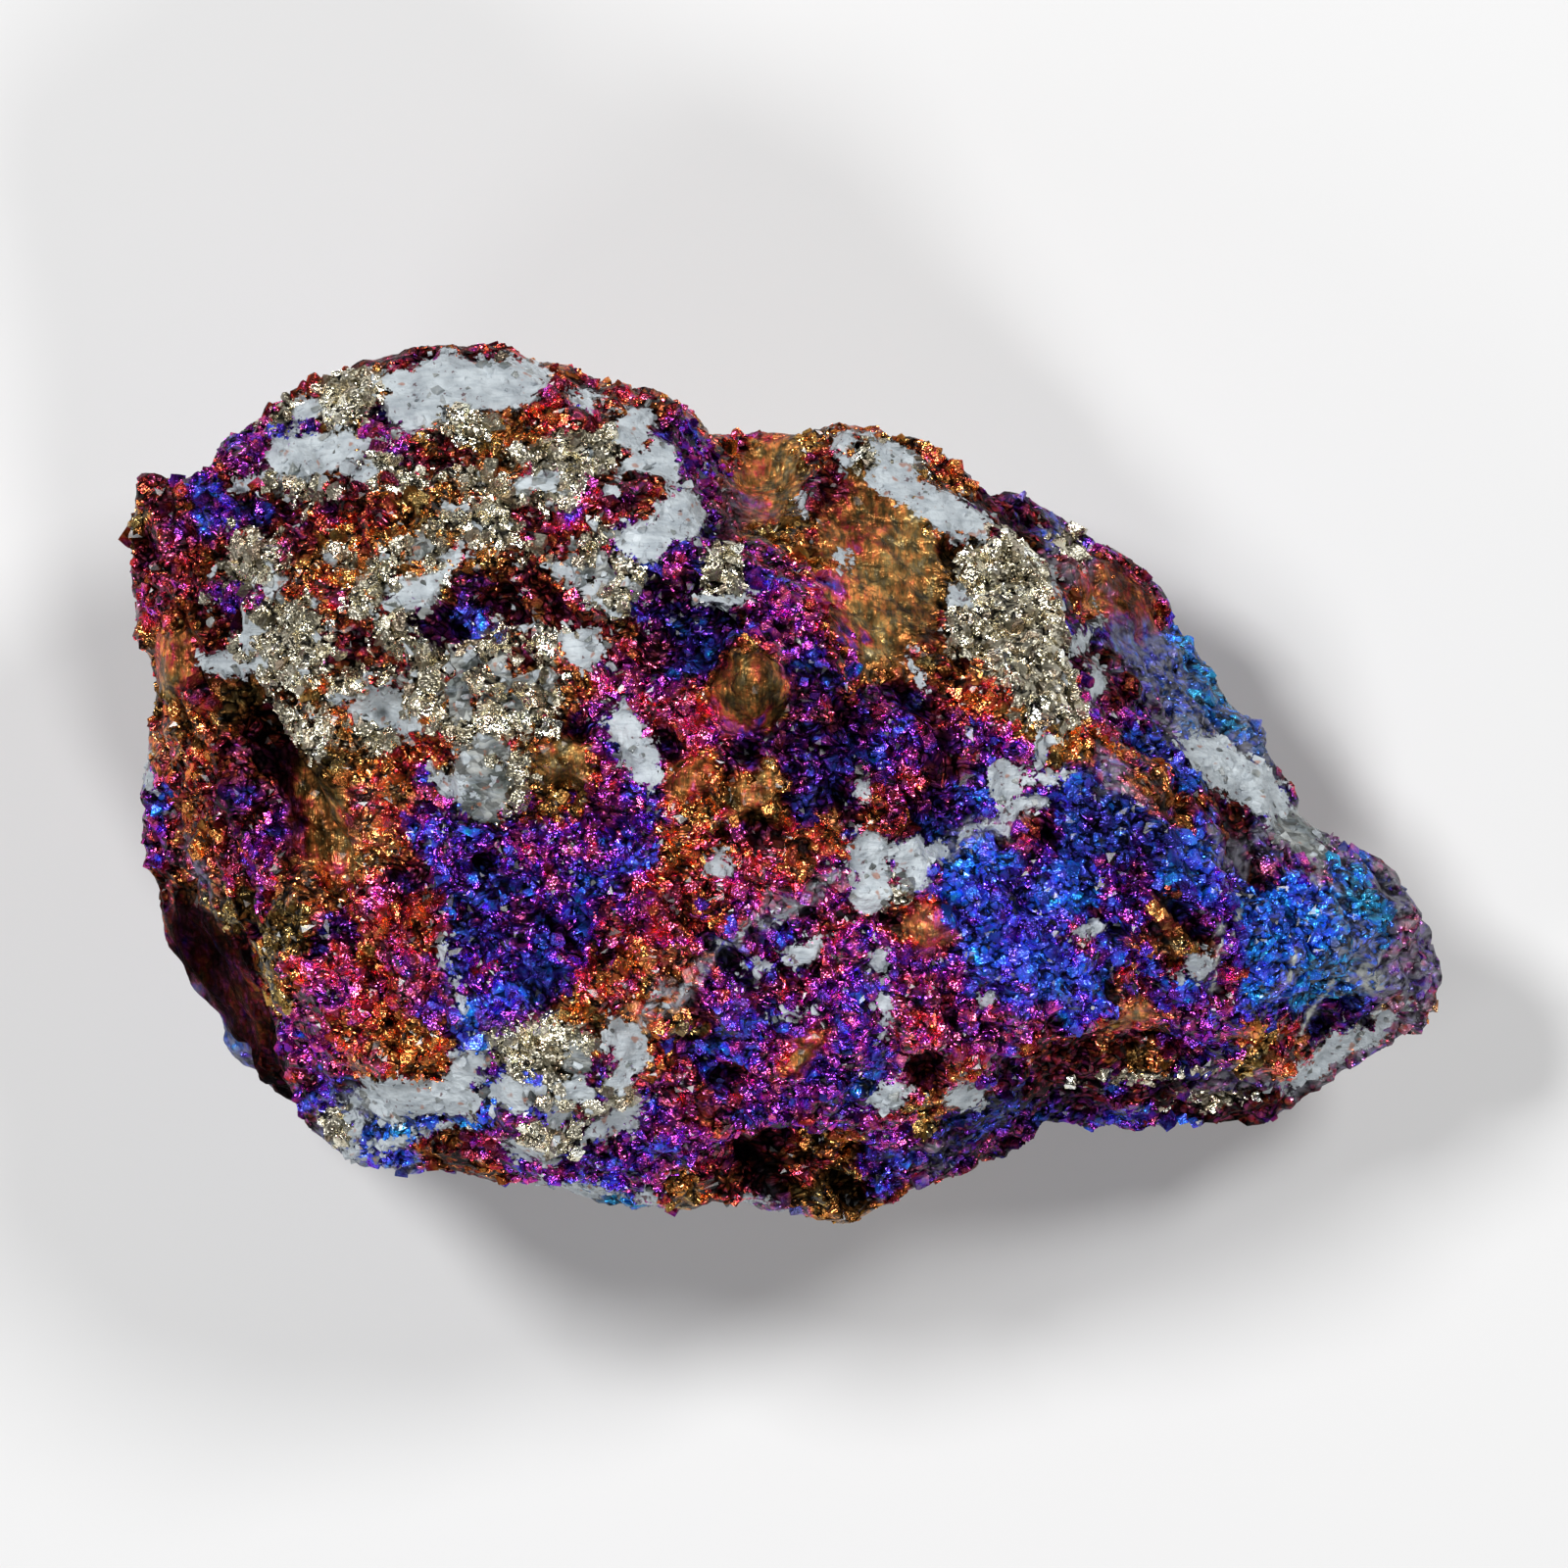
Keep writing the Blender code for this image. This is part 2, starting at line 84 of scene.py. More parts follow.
# Where each mineral shows on the upper side, as ovals: x, y, length, width, turn in degrees
WHITE_QUARTZ = (
    (-19.6, 3.8, 2.8, 1.8, 10), (-18.3, 2.9, 1.6, 1.0, -20),
    (-15.7, 19.5, 8.3, 2.6, 2), (-17.9, 18.3, 3.1, 2.1, -20), (-13, 20.1, 3.2, 1.6, -12),
    (-22.7, 16.1, 5.1, 2.2, 6), (-23.4, 18.2, 1.6, 1.2, 20), (-25.9, 14.7, 1.7, 0.5, 12),
    (-24.4, 15.5, 1.9, 1.3, 0), (-7.2, 17.2, 1.7, 2.2, -20), (-6.4, 15.2, 2.8, 3.2, -40),
    (-5.1, 12.9, 2.4, 3.1, -20), (-6.6, 11.8, 2.7, 1.8, 10), (-9.5, 18.6, 1.7, 0.6, -38),
    (-17.4, 9.8, 3.8, 1, 38), (-18.3, 8.9, 2.4, 1.1, 14), (-24.9, 9.8, 1.6, 0.6, 8),
    (-9.8, 6.6, 2.1, 1.7, -20), (-10.6, 10.3, 1.5, 0.8, -20), (-9.2, 9.2, 3.1, 0.6, -32),
    (-3, 8.9, 2.4, 0.6, 8), (-11.7, 14.6, 2.4, 0.9, 20), (-19.8, 3.7, 1.7, 1.1, 25),
    (-16.2, -0.2, 1.9, 1, -20), (-14.6, 7.7, 1.7, 0.8, 10), (-27, 6, 2.6, 1.1, -4),
    (-25.4, 6, 1.1, 1.2, 0), (-31.5, 0.7, 0.6, 1.7, 8), (-7.1, 1.6, 3.6, 1.6, -58),
    (-3.1, -3.9, 1.3, 1.3, 0), (3.9, -3.4, 2.1, 2.4, 0), (4.1, -5.2, 1.9, 2.5, -10),
    (6.1, -3.7, 2.2, 2.3, 10), (7.5, -3.4, 1.1, 1.1, 0), (10.8, 0.1, 1.8, 1.5, -25),
    (11.6, -1, 2.2, 0.7, 12), (11, -1.6, 0.7, 1.3, 0), (12.5, 1.8, 0.6, 1.4, 12),
    (12.1, 0.5, 1.5, 0.4, 4), (3.9, -0.3, 1, 1.3, 10), (0.9, -8.1, 1.9, 0.9, 32),
    (-1.1, -9, 1.2, 0.5, 5), (4.7, -8.6, 0.8, 1.3, 0), (4.9, -10.4, 1, 1, 0), (5, -11.6, 0.4, 1.3, -8),
    (5.1, -15, 1.9, 1.3, 0), (8.8, -15.3, 1.9, 1.3, -25), (9.8, -10.3, 0.8, 0.9, 0),
    (15, -7, 1, 0.6, 10), (0.4, -11, 1.2, 0.3, 16), (-16.6, -7.9, 0.7, 1.3, -25),
    (-15.8, -10, 0.4, 2.4, 20), (6.6, 5.1, 0.5, 1.6, 10), (1, 13.6, 0.5, 0.9, -20),
    (3, 15.7, 0.6, 0.7, 0), (2.8, 11, 0.4, 0.8, 0), (2.8, 16.8, 1.3, 0.8, -20), (5.6, 14.9, 3, 1.7, -32),
    (7.9, 13.4, 3.9, 1.8, -32), (9, 12.6, 2.1, 1.7, -30), (5.3, 16.2, 2.7, 1.1, -30),
    (8.7, 9.2, 1.3, 1.3, 0), (13.2, 9.5, 0.7, 1.6, -10), (14.6, 6.9, 0.5, 3.2, -28),
    (15.1, 4.8, 0.4, 1.9, -10), (22.1, 0.5, 6.7, 2.3, -33), (23.8, -0.6, 2.4, 1.7, -30),
    (20.2, -8.9, 1.4, 1, 10), (-19.3, -15.3, 4.7, 2.1, 6), (-16.2, -15.2, 3.4, 1.8, 8),
    (-13.2, -15, 2.5, 1.9, 0), (-15.3, -14.1, 1.6, 3.1, -14), (-21.2, -17.1, 0.7, 2.1, -20),
    (-19.1, -17.6, 4, 0.4, 20), (-12.3, -17.9, 2.2, 0.7, -14), (-7.7, -12.4, 1.9, 2.4, 0),
    (-8.3, -16.5, 3.1, 0.9, 30), (-9.7, -14.9, 1.5, 1.2, 0), (-7.8, -14.2, 1, 1.5, 0),
    (-9.9, -19.8, 3.2, 0.7, -6), (-6.5, -20.2, 1, 0.7, -30), (-1.8, -21.1, 1.4, 0.3, -4),
    (-11, -16, 0.8, 2.1, 0), (27.5, -13.3, 5.7, 1.1, 32), (29.4, -12.1, 2.6, 0.7, 32),
)

GREY_QUARTZ = (
    (-9.2, 10.3, 3.9, 3, -10), (-7.8, 9.6, 2.4, 2.9, -40), (-11.7, 14.3, 3.9, 1.9, 15),
    (-15.3, 4.8, 7.3, 3.7, -8), (-17.1, 6.7, 2.4, 2.9, 30), (-14.5, 0.4, 3.2, 4.4, 0),
    (4.8, -4, 1.8, 1, -48), (-23.8, 14.5, 2.7, 1.7, -10), (-12.7, 5.3, 3.4, 2.9, 0),
    (-9.9, -13.4, 1.4, 1.4, 0), (25.4, -2.5, 3.4, 2.2, -40), (-14.2, -0.6, 2.1, 2.2, 0),
    (-17.6, 11.6, 2.2, 1.5, 30),
)

FRESH_BRASS = (
    (-25.6, 10.9, 3.6, 2.2, -6), (-24.4, 6.8, 5.2, 4.5, -20), (-23.1, 6.1, 1.7, 1.9, -40),
    (-14.4, 12.6, 3.2, 2, -14), (-10.2, 16, 4.2, 2.5, 10),
    (-9.5, 15.7, 2.1, 1.5, -30), (-15.5, 17.4, 3.4, 1.5, 4), (-21.3, 18.7, 3, 2.7, 20),
    (-3, 10.3, 2, 2.5, 8), (10, 10.4, 2.9, 2.9, 0), (11.7, 10.7, 4.4, 2.9, -60),
    (11.2, 7.3, 6.3, 5.4, -70), (12.6, 4.8, 5.4, 3.4, -70), (9, 7.7, 2.4, 3.4, -20),
    (14.1, 11.6, 1.5, 2.4, -30), (5.1, 15.7, 3.4, 1.8, -30), (-11.7, -12.7, 5.2, 2.9, -4),
    (-11.4, -17.1, 2.7, 2.3, 0), (-10.8, -14.7, 1.9, 1.6, 0), (-7.9, -14.5, 1.5, 1.9, 0),
    (-9.1, -15.8, 1.9, 1, 0), (-15.2, -15.3, 0.5, 1.6, 0), (-21.9, -16.9, 1.8, 2.5, 25),
    (-23.9, 3.1, 2.9, 1.5, -40), (-22.4, 2.3, 1.6, 2.1, 0), (-20.9, 4.8, 3.4, 1.3, 30),
    (-20, 2.3, 2.4, 1.9, 0), (-18, 3.7, 1.9, 1.5, 0), (-20.5, 8.7, 1.9, 1.5, 0),
    (-19.5, 10.2, 2.9, 1.5, 35), (-16.1, 7.7, 1.9, 1.9, 0), (-14.6, 2.9, 5.4, 1.8, -4),
    (-11.9, 6.8, 2.1, 1.4, 0), (-12.4, 3.8, 2.9, 2.4, 0), (-18, 14.6, 1.9, 1.3, 0),
    (-15.1, 14.6, 2.9, 1.1, -15), (-13.2, 11.6, 1.9, 1.1, 0), (-16.1, 0.4, 2.1, 1.3, -10),
    (-12.9, -0, 1.5, 2.9, -15), (-18.5, 7.7, 2.9, 1.5, 30), (-12.4, 16, 1.8, 1.1, 0),
    (5.4, -5.1, 1.8, 1.1, 0), (-13.7, 7.3, 1.9, 1.3, 0), (-13.8, 20.4, 1.2, 1.1, 0),
    (-10.7, 7, 2.1, 0.9, -10), (-24.5, 18, 1.9, 1.3, 10), (-19.4, 15.7, 2.1, 1.5, -20),
    (-22.9, 14.2, 1.9, 1.3, 0), (-21.4, 11.2, 1.7, 1.1, 0), (21.4, -15.6, 2.9, 0.6, 4),
    (18.5, -17, 3.4, 0.5, 3),
)

TARNISH_PLACES = {
    "gold": (
        (-17.7, 12.8, 2.4, 2.2, 0), (-24.4, -7.8, 1.9, 2.9, 10), (-24.9, -9.8, 1.3, 2.4, 5),
        (5, 7.7, 2.1, 2.1, 0), (-3.7, -2.6, 1.3, 0.7, 0), (-4.3, 1.5, 0.9, 0.7, -30),
        (-8.9, -10.6, 1.1, 1.2, 0), (6.9, -16, 1.3, 2.1, -20), (-0.9, 5, 1.7, 1.2, -30),
        (-4.7, -11.7, 0.7, 1.5, 10), (-27.3, -5.6, 1.8, 1.3, -30), (23.6, -13.4, 2.4, 1.7, 20),
        (-15.6, 17.2, 2.9, 1.3, 0),
    ),
    "olive": (
        (-31.2, 4.6, 1.9, 2.9, 0), (-31.7, 12.9, 1.5, 1.9, 0), (-29.7, 5.3, 2.9, 1.9, 0),
        (-22.2, -2.2, 2.6, 5.4, 30), (-20.6, 0.2, 2.4, 2.4, 20),
        (-10.6, 0.9, 2.7, 2.7, 0), (-0.5, 15, 3.4, 4.9, -10), (-0, 12.6, 2.9, 2.9, 0),
        (5.3, 11.6, 4.4, 6.3, 0), (3.9, 8.7, 2.9, 3.9, 0),
        (12.2, 2.4, 3.4, 1.5, 0), (1.4, -20, 3.4, 2.9, 0), (-3.2, -20.7, 1.9, 1.5, 0),
        (-4.9, -19.5, 1.5, 1.5, 0), (6.8, 9.7, 1.9, 2.9, 0), (-24.9, 18.7, 2.4, 1.5, 30),
        (-21.4, 18.5, 3.4, 2.9, 20),
    ),
    # Dark olive in the groove and the hollows beside the knob: painted shade over olive ore
    "dark_olive_and_painted_shade": (
        (-22.5, -2.4, 1.8, 3.8, 20),
        (-23.0, 1.0, 1.6, 6.0, 28), (-1.5, 3.6, 2.4, 2.2, -35),
        (-25.3, -6.4, 2.9, 1.2, -20), (-26.8, 3.8, 2.4, 2.4, 0),
    ),
    "brown": (
        (-29.6, 6.0, 3.6, 3.6, 0),
        (-1.9, 4.5, 3.4, 4.4, -35), (-22.6, -3.4, 1.6, 3.0, 20), (-28.6, -5.6, 1.6, 1.6, 0), (4.0, 13.6, 2.2, 3.4, 0),
        (6.4, 8.0, 1.6, 3.4, 0),
    ),
    "tan": (
        (-4.6, 0.1, 2.2, 2.7, -30), (-1.5, -0.3, 1.9, 2.4, -35), (4, 5.3, 3.4, 1.9, -10),
        (17.5, -13.7, 2.7, 1.9, 0), (2.9, -17.6, 2.1, 2.9, 0), (-14.2, -0.6, 1.9, 1.9, 0),
        (19.9, -8.1, 2.4, 2.4, 0), (18, -0, 3.4, 2.4, -30), (2.7, 12.1, 2.9, 2.9, 0),
    ),
    "orange": (
        (-18.6, 12.9, 2.8, 2.2, 0),
        (-20.6, -12.4, 2.0, 3.0, 0),
        (0.6, -18.9, 1.6, 0.8, 0), (-30.4, 6.6, 2.4, 2.6, 0),
        (-30.1, 5.8, 1.3, 0.8, 0), (-28.5, 1.9, 3.2, 3.2, -20), (-28.5, -2.1, 2.9, 2.4, -30),
        (-19.5, -11.2, 2.9, 4.9, -8), (-18, 11.6, 6.3, 1.9, -18), (-21, 11.6, 2.4, 2.9, 0),
        (-11.7, 4.8, 2.4, 3.4, -30), (-9.3, -9.3, 3.4, 3.4, 0), (-7.3, -9.8, 3.4, 2.9, -30),
        (-3.1, 16.4, 1.7, 2.4, 20), (-1.5, 14.6, 1.9, 4.4, -10), (-6.2, -1.8, 1.3, 1.2, 0),
        (-4.9, -2.5, 2.9, 2.9, 0), (-22.9, 4.3, 4.4, 1.3, 20), (-20.5, -0, 2.9, 1.5, 0),
        (-16.8, 2.6, 4.9, 2.4, -5), (-5.4, -13.2, 2.4, 1.5, -5), (0.9, -12.8, 2.2, 3.1, -15),
        (23.3, -12.7, 3.4, 2.9, 0), (7.8, 12.4, 1.5, 1.9, 0), (9.7, 4.2, 2.7, 2.9, -40),
        (15.1, 2.1, 2.6, 1.7, -15), (-13.2, 18, 3.4, 1.9, 0), (1.4, 10.9, 3.4, 2.9, 0),
        (-9.8, -10.8, 2.4, 1.9, 0), (-29.7, -4.9, 1.5, 3.4, -10), (-24, -9, 1.8, 1.2, 0),
        (7.5, -15.1, 2.4, 2.4, -30), (-1.6, -19.3, 0.9, 1.1, 0), (0.2, -19.3, 0.6, 1.2, 0),
        (-15.6, 13.6, 5.4, 2.9, -15), (9.7, 16, 2.9, 1.2, -30), (8, 15.5, 2.9, 1.2, -30),
        (-19.5, -9.1, 1.9, 1.9, 0),
    ),
    "copper": (
        (-19.6, -2.6, 2.9, 2.9, 0), (-18.9, -0.6, 2.4, 2.4, 0), (4.6, 12.0, 1.2, 3.4, 0),
        (-30.6, 7.4, 2.2, 4.6, 0), (-30.0, 2.6, 2.2, 4.0, 0), (-29.0, -1.6, 2.0, 3.2, 0),
        (7, -6.9, 3.1, 2.4, 10), (16.9, -11.1, 1.9, 2.2, 0), (18.7, -7.1, 2.4, 1.9, -20),
        (-27.8, 2.9, 2.9, 3.9, -10), (-19.7, -6.4, 2.4, 1.9, 0), (15.3, 10.2, 2.4, 2.9, -20),
        (-0, -3.4, 3.9, 1.2, 10), (-22.2, -4.9, 2.9, 1.9, 0), (-5.4, -9.1, 1.5, 1.9, 0),
        (24.8, -13.9, 1.9, 1.9, 0),
    ),
    "rust": (
        (17.2, 8.6, 4.5, 3.0, -50), (15.6, 10.6, 4.0, 2.5, -50),
        (16.5, 9.2, 4.4, 3.9, -45), (-29.2, 3.8, 5.4, 2.4, 0), (-15.5, -18.6, 3.1, 2.1, 0),
        (3.4, 12.6, 2.9, 2.9, 0), (7.5, 5.8, 1.7, 4.4, 0), (2.4, 7.7, 2.4, 2.9, -20),
        (-2, 13.1, 2.9, 3.4, 0), (-11.7, 2.9, 2.4, 1.9, 0), (-13.7, 9.7, 2.9, 1.9, 0),
    ),
    "red": (
        (-0.6, -19.3, 3.6, 1.6, 5), (0.9, -18.6, 1.4, 1.0, 0),
        (-0.9, -19.2, 3.2, 1.0, 10),
        (-19.3, 6.5, 3.9, 2.4, -30), (-21.9, 8.5, 4.4, 1.8, -28), (-12.7, 18.5, 3.9, 1.8, -8),
        (-9.8, 18, 2.9, 1.5, -20), (-17.1, 2.4, 4.4, 1.9, 5), (-13.9, -8.9, 1.7, 1.8, 0),
        (-18, -6.4, 2.9, 2.4, -20), (-2.9, -3.5, 2.9, 1.9, -10), (-23.9, -3.5, 2.4, 3.4, -35),
        (-29.2, 0.4, 2.9, 2.9, 0), (-4.9, -4.9, 3.9, 2.4, 0), (5.1, -0.3, 2.4, 2.1, 0),
        (-10.2, 12.6, 2.4, 1.9, 0), (-11.2, 9.7, 3.9, 1.5, 0), (-29.7, 9.7, 2.9, 2.9, 0),
        (-2.5, -20.2, 2.9, 0.8, -15), (12.9, 12.2, 0.7, 0.7, 0), (24.8, -12.7, 1.3, 1.3, 0),
    ),
    "crimson": (
        (-22.5, 12.6, 3.4, 1.8, 0), (-11.6, 12.3, 3.0, 1.6, -25), (-20.6, 6.4, 3.6, 1.5, -30),
        (-31.0, 11.5, 2.0, 3.6, 0), (-8.9, -7.4, 2.2, 2.2, 0), (-30.9, 14.0, 2.0, 2.4, 0),
        (-6.7, 14.2, 1.9, 1.7, 0), (-29.7, 10.2, 4.4, 3.9, 0), (-26.8, 11.6, 2.4, 1.9, 0),
        (-27.3, 7.7, 2.9, 2.9, 0), (-22.9, 12.6, 3.9, 1.9, 0), (-20.2, 13.6, 2.9, 3.4, -20),
        (-11.7, 8.7, 5.8, 2.4, -5), (-9.8, 7.7, 2.9, 1.9, 0), (-7.3, 6.8, 3.9, 1.9, -30),
        (-26.3, 14.6, 3.4, 1.9, 0), (2.2, 14.6, 2.4, 2.9, 0), (-9.6, -14.7, 1.1, 1.4, 0),
        (-30.2, -3, 1.9, 2.9, 0), (-17.1, 15.5, 2.9, 1.9, 0), (12.6, -12.2, 2.4, 2.4, 0),
    ),
    # Near-black maroon in the groove, the hollows, the cave at the front, the low lip and on the lower left face:
    # partly maroon ore, partly painted shade
    "maroon_and_painted_shade": (
        (-16.8, 8.1, 3.0, 1.8, 10), (-23.9, -1.4, 1.6, 3.2, 25), (-24.6, 1.6, 1.6, 3.0, 20),
        (-27.3, -10.3, 4.4, 6.8, 25), (-29.2, -7.8, 2.9, 3.4, 10), (-25.8, -12.7, 2.9, 2.9, 0),
        (-23.5, -1.6, 2.4, 4.4, 25),
        (-29.6, -8.6, 3.4, 2.4, 80), (-28.9, -11.2, 3.2, 2.6, 70), (-27.2, -14.2, 3.4, 2.4, 60),
        (-25.0, -17.0, 3.0, 2.0, 50), (-30.6, -5.4, 3.0, 2.0, 85), (-24.7, 0.8, 2.4, 8.6, 25),
        (-29.2, -6.2, 5.0, 3.4, 80), (-27.6, -10.6, 6.0, 4.2, -60), (-25.4, -13.6, 4.4, 3.0, -50),
        (-0.6, -19.2, 6.6, 2.8, 0), (17.0, -15.4, 6.0, 1.4, 5),
    ),
    "maroon": (
        (6.9, 0.8, 3.0, 2.2, 0), (2.0, 2.4, 2.0, 1.6, 0),
        (19.5, -16, 8.8, 1.5, 0),
        (-28.3, 5.6, 1.5, 4.6, 0), (-27.7, 1.2, 1.3, 3.0, 10),
        (-11.7, 7.7, 4.9, 1.9, 0), (-3.9, -15.1, 3.9, 1.5, -38), (15.1, -13.7, 5.4, 2.4, 10),
        (11.7, -14.2, 3.4, 1.5, 20), (16, 4.8, 2.4, 4.4, -10), (21.4, -1.5, 3.4, 2.4, -30),
        (-26.8, 0.4, 1.9, 2.9, 0), (-17.6, -3.5, 2.4, 2.9, 0),
    ),
    "pink": (
        (-4.4, -3.5, 1.8, 1.4, 0), (-2.6, -2.0, 1.4, 1.2, 0), (-5.6, -1.2, 1.3, 1.3, 0),
        (-20.4, -13.0, 1.8, 1.4, 0), (-7.8, -10.2, 1.4, 1.4, 0),
        (-21.2, -12.6, 1.6, 2.2, 0),
        (-19.2, -8.6, 1.6, 2.4, 0), (-6.9, -9.4, 1.6, 1.6, 0),
        # The first oval lies on the right edge of the rounded knob as a painted highlight
        (-0.5, 4.9, 1.3, 1.1, -40), (-19.5, -6.1, 2.9, 1.9, -20), (-5.4, 3.8, 3.9, 2.4, -20),
        (2.4, 3.1, 2.9, 1.9, 0), (11.3, -2.4, 2.4, 1.5, 0), (-21.9, -8.8, 2.4, 1.9, 0),
        (14.1, -7, 1.3, 1.5, 0), (4.8, 0.4, 2.4, 2.4, 0), (-6.8, -5.4, 2.4, 2.4, 0),
        (-1, -3.9, 4.4, 1.9, 5), (-2.9, 17.5, 1, 1.9, 0), (7.8, -12.7, 2.9, 2.9, 0),
        (9.7, -13.7, 2.4, 2.9, 0), (-26.5, -5.6, 0.8, 0.7, 0), (-2.9, 2.9, 1.9, 2.9, -30),
        (25.3, -12.2, 1.9, 1, 10),
    ),
    "magenta": (
        (-10.7, 13.3, 3.4, 1.9, -20), (-6.8, 4.3, 5.8, 2.9, -10), (-4.9, 1.4, 2.9, 2.9, -30),
        (-30.2, 11.2, 2.4, 3.4, 0), (-31.2, 8.7, 1.5, 2.9, 0), (-25.8, -4.2, 2.9, 1.9, -20),
        (-22.4, -11.2, 3.4, 5.4, -30), (-18.4, -10, 1.5, 2.9, 0), (-0, -5.9, 4.9, 2.9, 10),
        (-2, -4.9, 3.4, 1.9, 10), (6.3, -11.2, 5.4, 3.9, 0), (2.4, -9.8, 4.9, 2.9, 0),
        (9.7, -12.2, 4.4, 3.4, 10), (-1, -13.7, 4.4, 2.9, 0), (25.3, -4, 2.4, 1.7, -10),
        (-2.9, -9.8, 2.9, 2.4, 0), (-4.9, -17.1, 4.4, 3.4, 0), (2.9, -6.4, 2.9, 2.4, 0),
        (-13.7, -3, 2.9, 1.9, 0), (0.9, 7.7, 2.4, 2.4, 0), (3.9, -16.6, 2.9, 1.9, 0),
        (-7.8, 4.8, 3.4, 1.9, 0), (-25.8, 16, 2.9, 2.4, 0), (-19.5, 17.5, 1.5, 1.5, 0),
        (-12.7, -3.9, 2.4, 2.4, 0), (20.9, -10.3, 1.9, 1.9, 0), (6.8, -14.2, 2.9, 1.9, 0),
    ),
    "purple": (
        (-16.6, -3.4, 1.6, 1.6, 0), (-13.2, -5.4, 1.8, 1.4, 20), (-12.0, -2.6, 2.0, 1.8, 0), (2.2, -13.6, 3.0, 2.4, 0),
        (-28, 16, 3.9, 2.9, 30), (-19.6, 17.7, 1.8, 1.9, -30), (-3.9, 14.6, 1.7, 5.8, -4),
        (-5.4, 10.4, 2.4, 2.4, 0), (-7.8, 1.9, 3.4, 2.9, -30), (-7.3, -0.8, 3.4, 3.4, -20),
        (-0, 9.7, 2.9, 3.9, -20), (1.4, 9.2, 2.9, 3.9, -10), (-23.4, -12.2, 1.9, 5.8, -30),
        (-17.1, -0.8, 2.9, 2.4, -20), (-14.6, -2.5, 3.9, 2.4, 0), (-5.4, -16.1, 3.9, 5.4, 0),
        (1.4, -15.6, 5.4, 1.9, 0), (-1, -9.3, 5.4, 3.4, 10), (4.8, -7.8, 5.4, 2.4, 0),
        (2.9, -12.2, 5.4, 2.9, 0), (5.8, 2.4, 6.8, 2.9, 0), (16, 3.4, 2.9, 3.9, -20),
        (5.3, -17.6, 2.9, 3.9, 0), (-11.7, -4.9, 3.4, 2.9, 0), (9.7, 1.9, 3.9, 2.9, -20),
        (-20, -10.3, 1.2, 2.9, -10), (-26.8, 9.7, 1.9, 2.9, 0), (-12.7, -18.1, 4.4, 2.4, 0),
        (-7.8, -18.6, 4.4, 2.9, 0), (20.9, -12.2, 2.9, 2.9, 0), (-8.8, -3, 2.4, 2.4, 0),
        (12.6, -3.5, 1.9, 1.9, 0), (16.5, -4.9, 2.4, 2.9, 0), (8.7, -9.8, 2.9, 2.9, 0),
    ),
    "lavender": (
        (-12.6, -11.4, 2.0, 1.6, 0), (9.8, -13.6, 2.2, 2.0, 0),
        (8.6, -11.4, 2.2, 1.6, 0), (6.0, -13.2, 2.0, 1.6, 0), (4.4, -9.4, 1.8, 1.8, 0), (-3.6, -14.6, 2.0, 1.4, -20),
        (-16.7, -9.5, 1.3, 2.7, -12), (5.1, -18.1, 1.9, 2.4, 0), (11.4, -12.5, 1.9, 3.9, 0),
        (-2.5, -8.1, 2.9, 1.3, 25), (2.2, -15.4, 2.9, 1.2, 5), (12.6, -10.8, 1.9, 2.4, 0),
        (-2, -11.2, 2.4, 1.9, 0), (0.9, 9.2, 1, 2.4, 0),
    ),
    "dusk": (
        (-15.2, 8.3, 1.6, 1.6, 0),
        (-4.9, 7.7, 4.9, 4.4, -25), (-3.9, 9.2, 2.9, 2.9, 0), (1.9, 1.4, 6.3, 2.9, 0),
        (4.4, 3.4, 5.4, 2.9, 0), (-16.1, 8.2, 3.4, 2.4, 0), (15.1, 7.7, 1.8, 1.9, 0),
        (-26.8, -0.5, 1.9, 1.9, 0), (-21.7, -7, 2.1, 2.2, 0), (-1, 1.9, 2.9, 2.4, -30),
        (4.8, 1.4, 2.9, 2.9, 0), (14.1, -16.1, 5.4, 1.7, 4), (8.7, -18.1, 4.4, 2.4, 25),
        (0.9, 4.8, 1.9, 2.9, -20), (7.3, -0.5, 3.9, 2.4, 0), (-13.2, -6.9, 2.9, 2.9, 0),
    ),
    "indigo": (
        (3.2, -10.6, 2.0, 1.6, 20), (-0.4, -11.6, 1.8, 2.0, 0), (7.6, -9.2, 2.0, 1.6, 0), (-6.0, -17.6, 2.4, 1.6, 0),
        (-27.9, 13.6, 2.4, 2.4, 0), (-24.9, -2.7, 3.4, 2.9, -10), (-26.8, 12.6, 1.9, 2.4, 0),
        (-6.4, 10.7, 1.8, 2.4, 0), (-14.6, -4.9, 5.4, 4.9, 0), (-11.7, -7.8, 4.4, 5.4, 0),
        (-8.8, -4.9, 2.9, 3.9, 0), (9.7, -1.5, 2.9, 2.9, -20),
        (-3.4, -12.7, 3.9, 2.9, 0), (-23.2, -15.4, 2.1, 2.1, -30), (-1.5, -7.8, 3.9, 1.9, 20),
        (19, -9.8, 2.9, 2.4, 0), (21.4, -6.9, 2.4, 2.9, 0), (2.9, 6.8, 1.5, 1.9, 0),
    ),
    "navy": (
        (-15.3, -9.0, 1.5, 2.0, 0),
        (-12.8, -6.6, 1.6, 2.0, 0), (3.6, -14.4, 2.0, 1.2, 10),
        (-13.7, -7.6, 2.2, 2.2, 0),
        (-17.0, -4.6, 3.0, 2.6, 0), (-14.4, -4.4, 3.4, 2.4, 10), (-12.6, -8.0, 2.6, 3.4, 0), (-15.8, -2.6, 2.2, 3.0, 0),
        (-3.9, 5.8, 2.9, 3.4, -30), (-14.6, -6.4, 4.9, 2.9, 0), (17, -3, 3.4, 2.9, -20),
        (22.4, -0, 4.4, 1.9, -33), (7.8, -2.5, 2.4, 1.9, 0), (9.7, -16.1, 4.4, 1.7, 20),
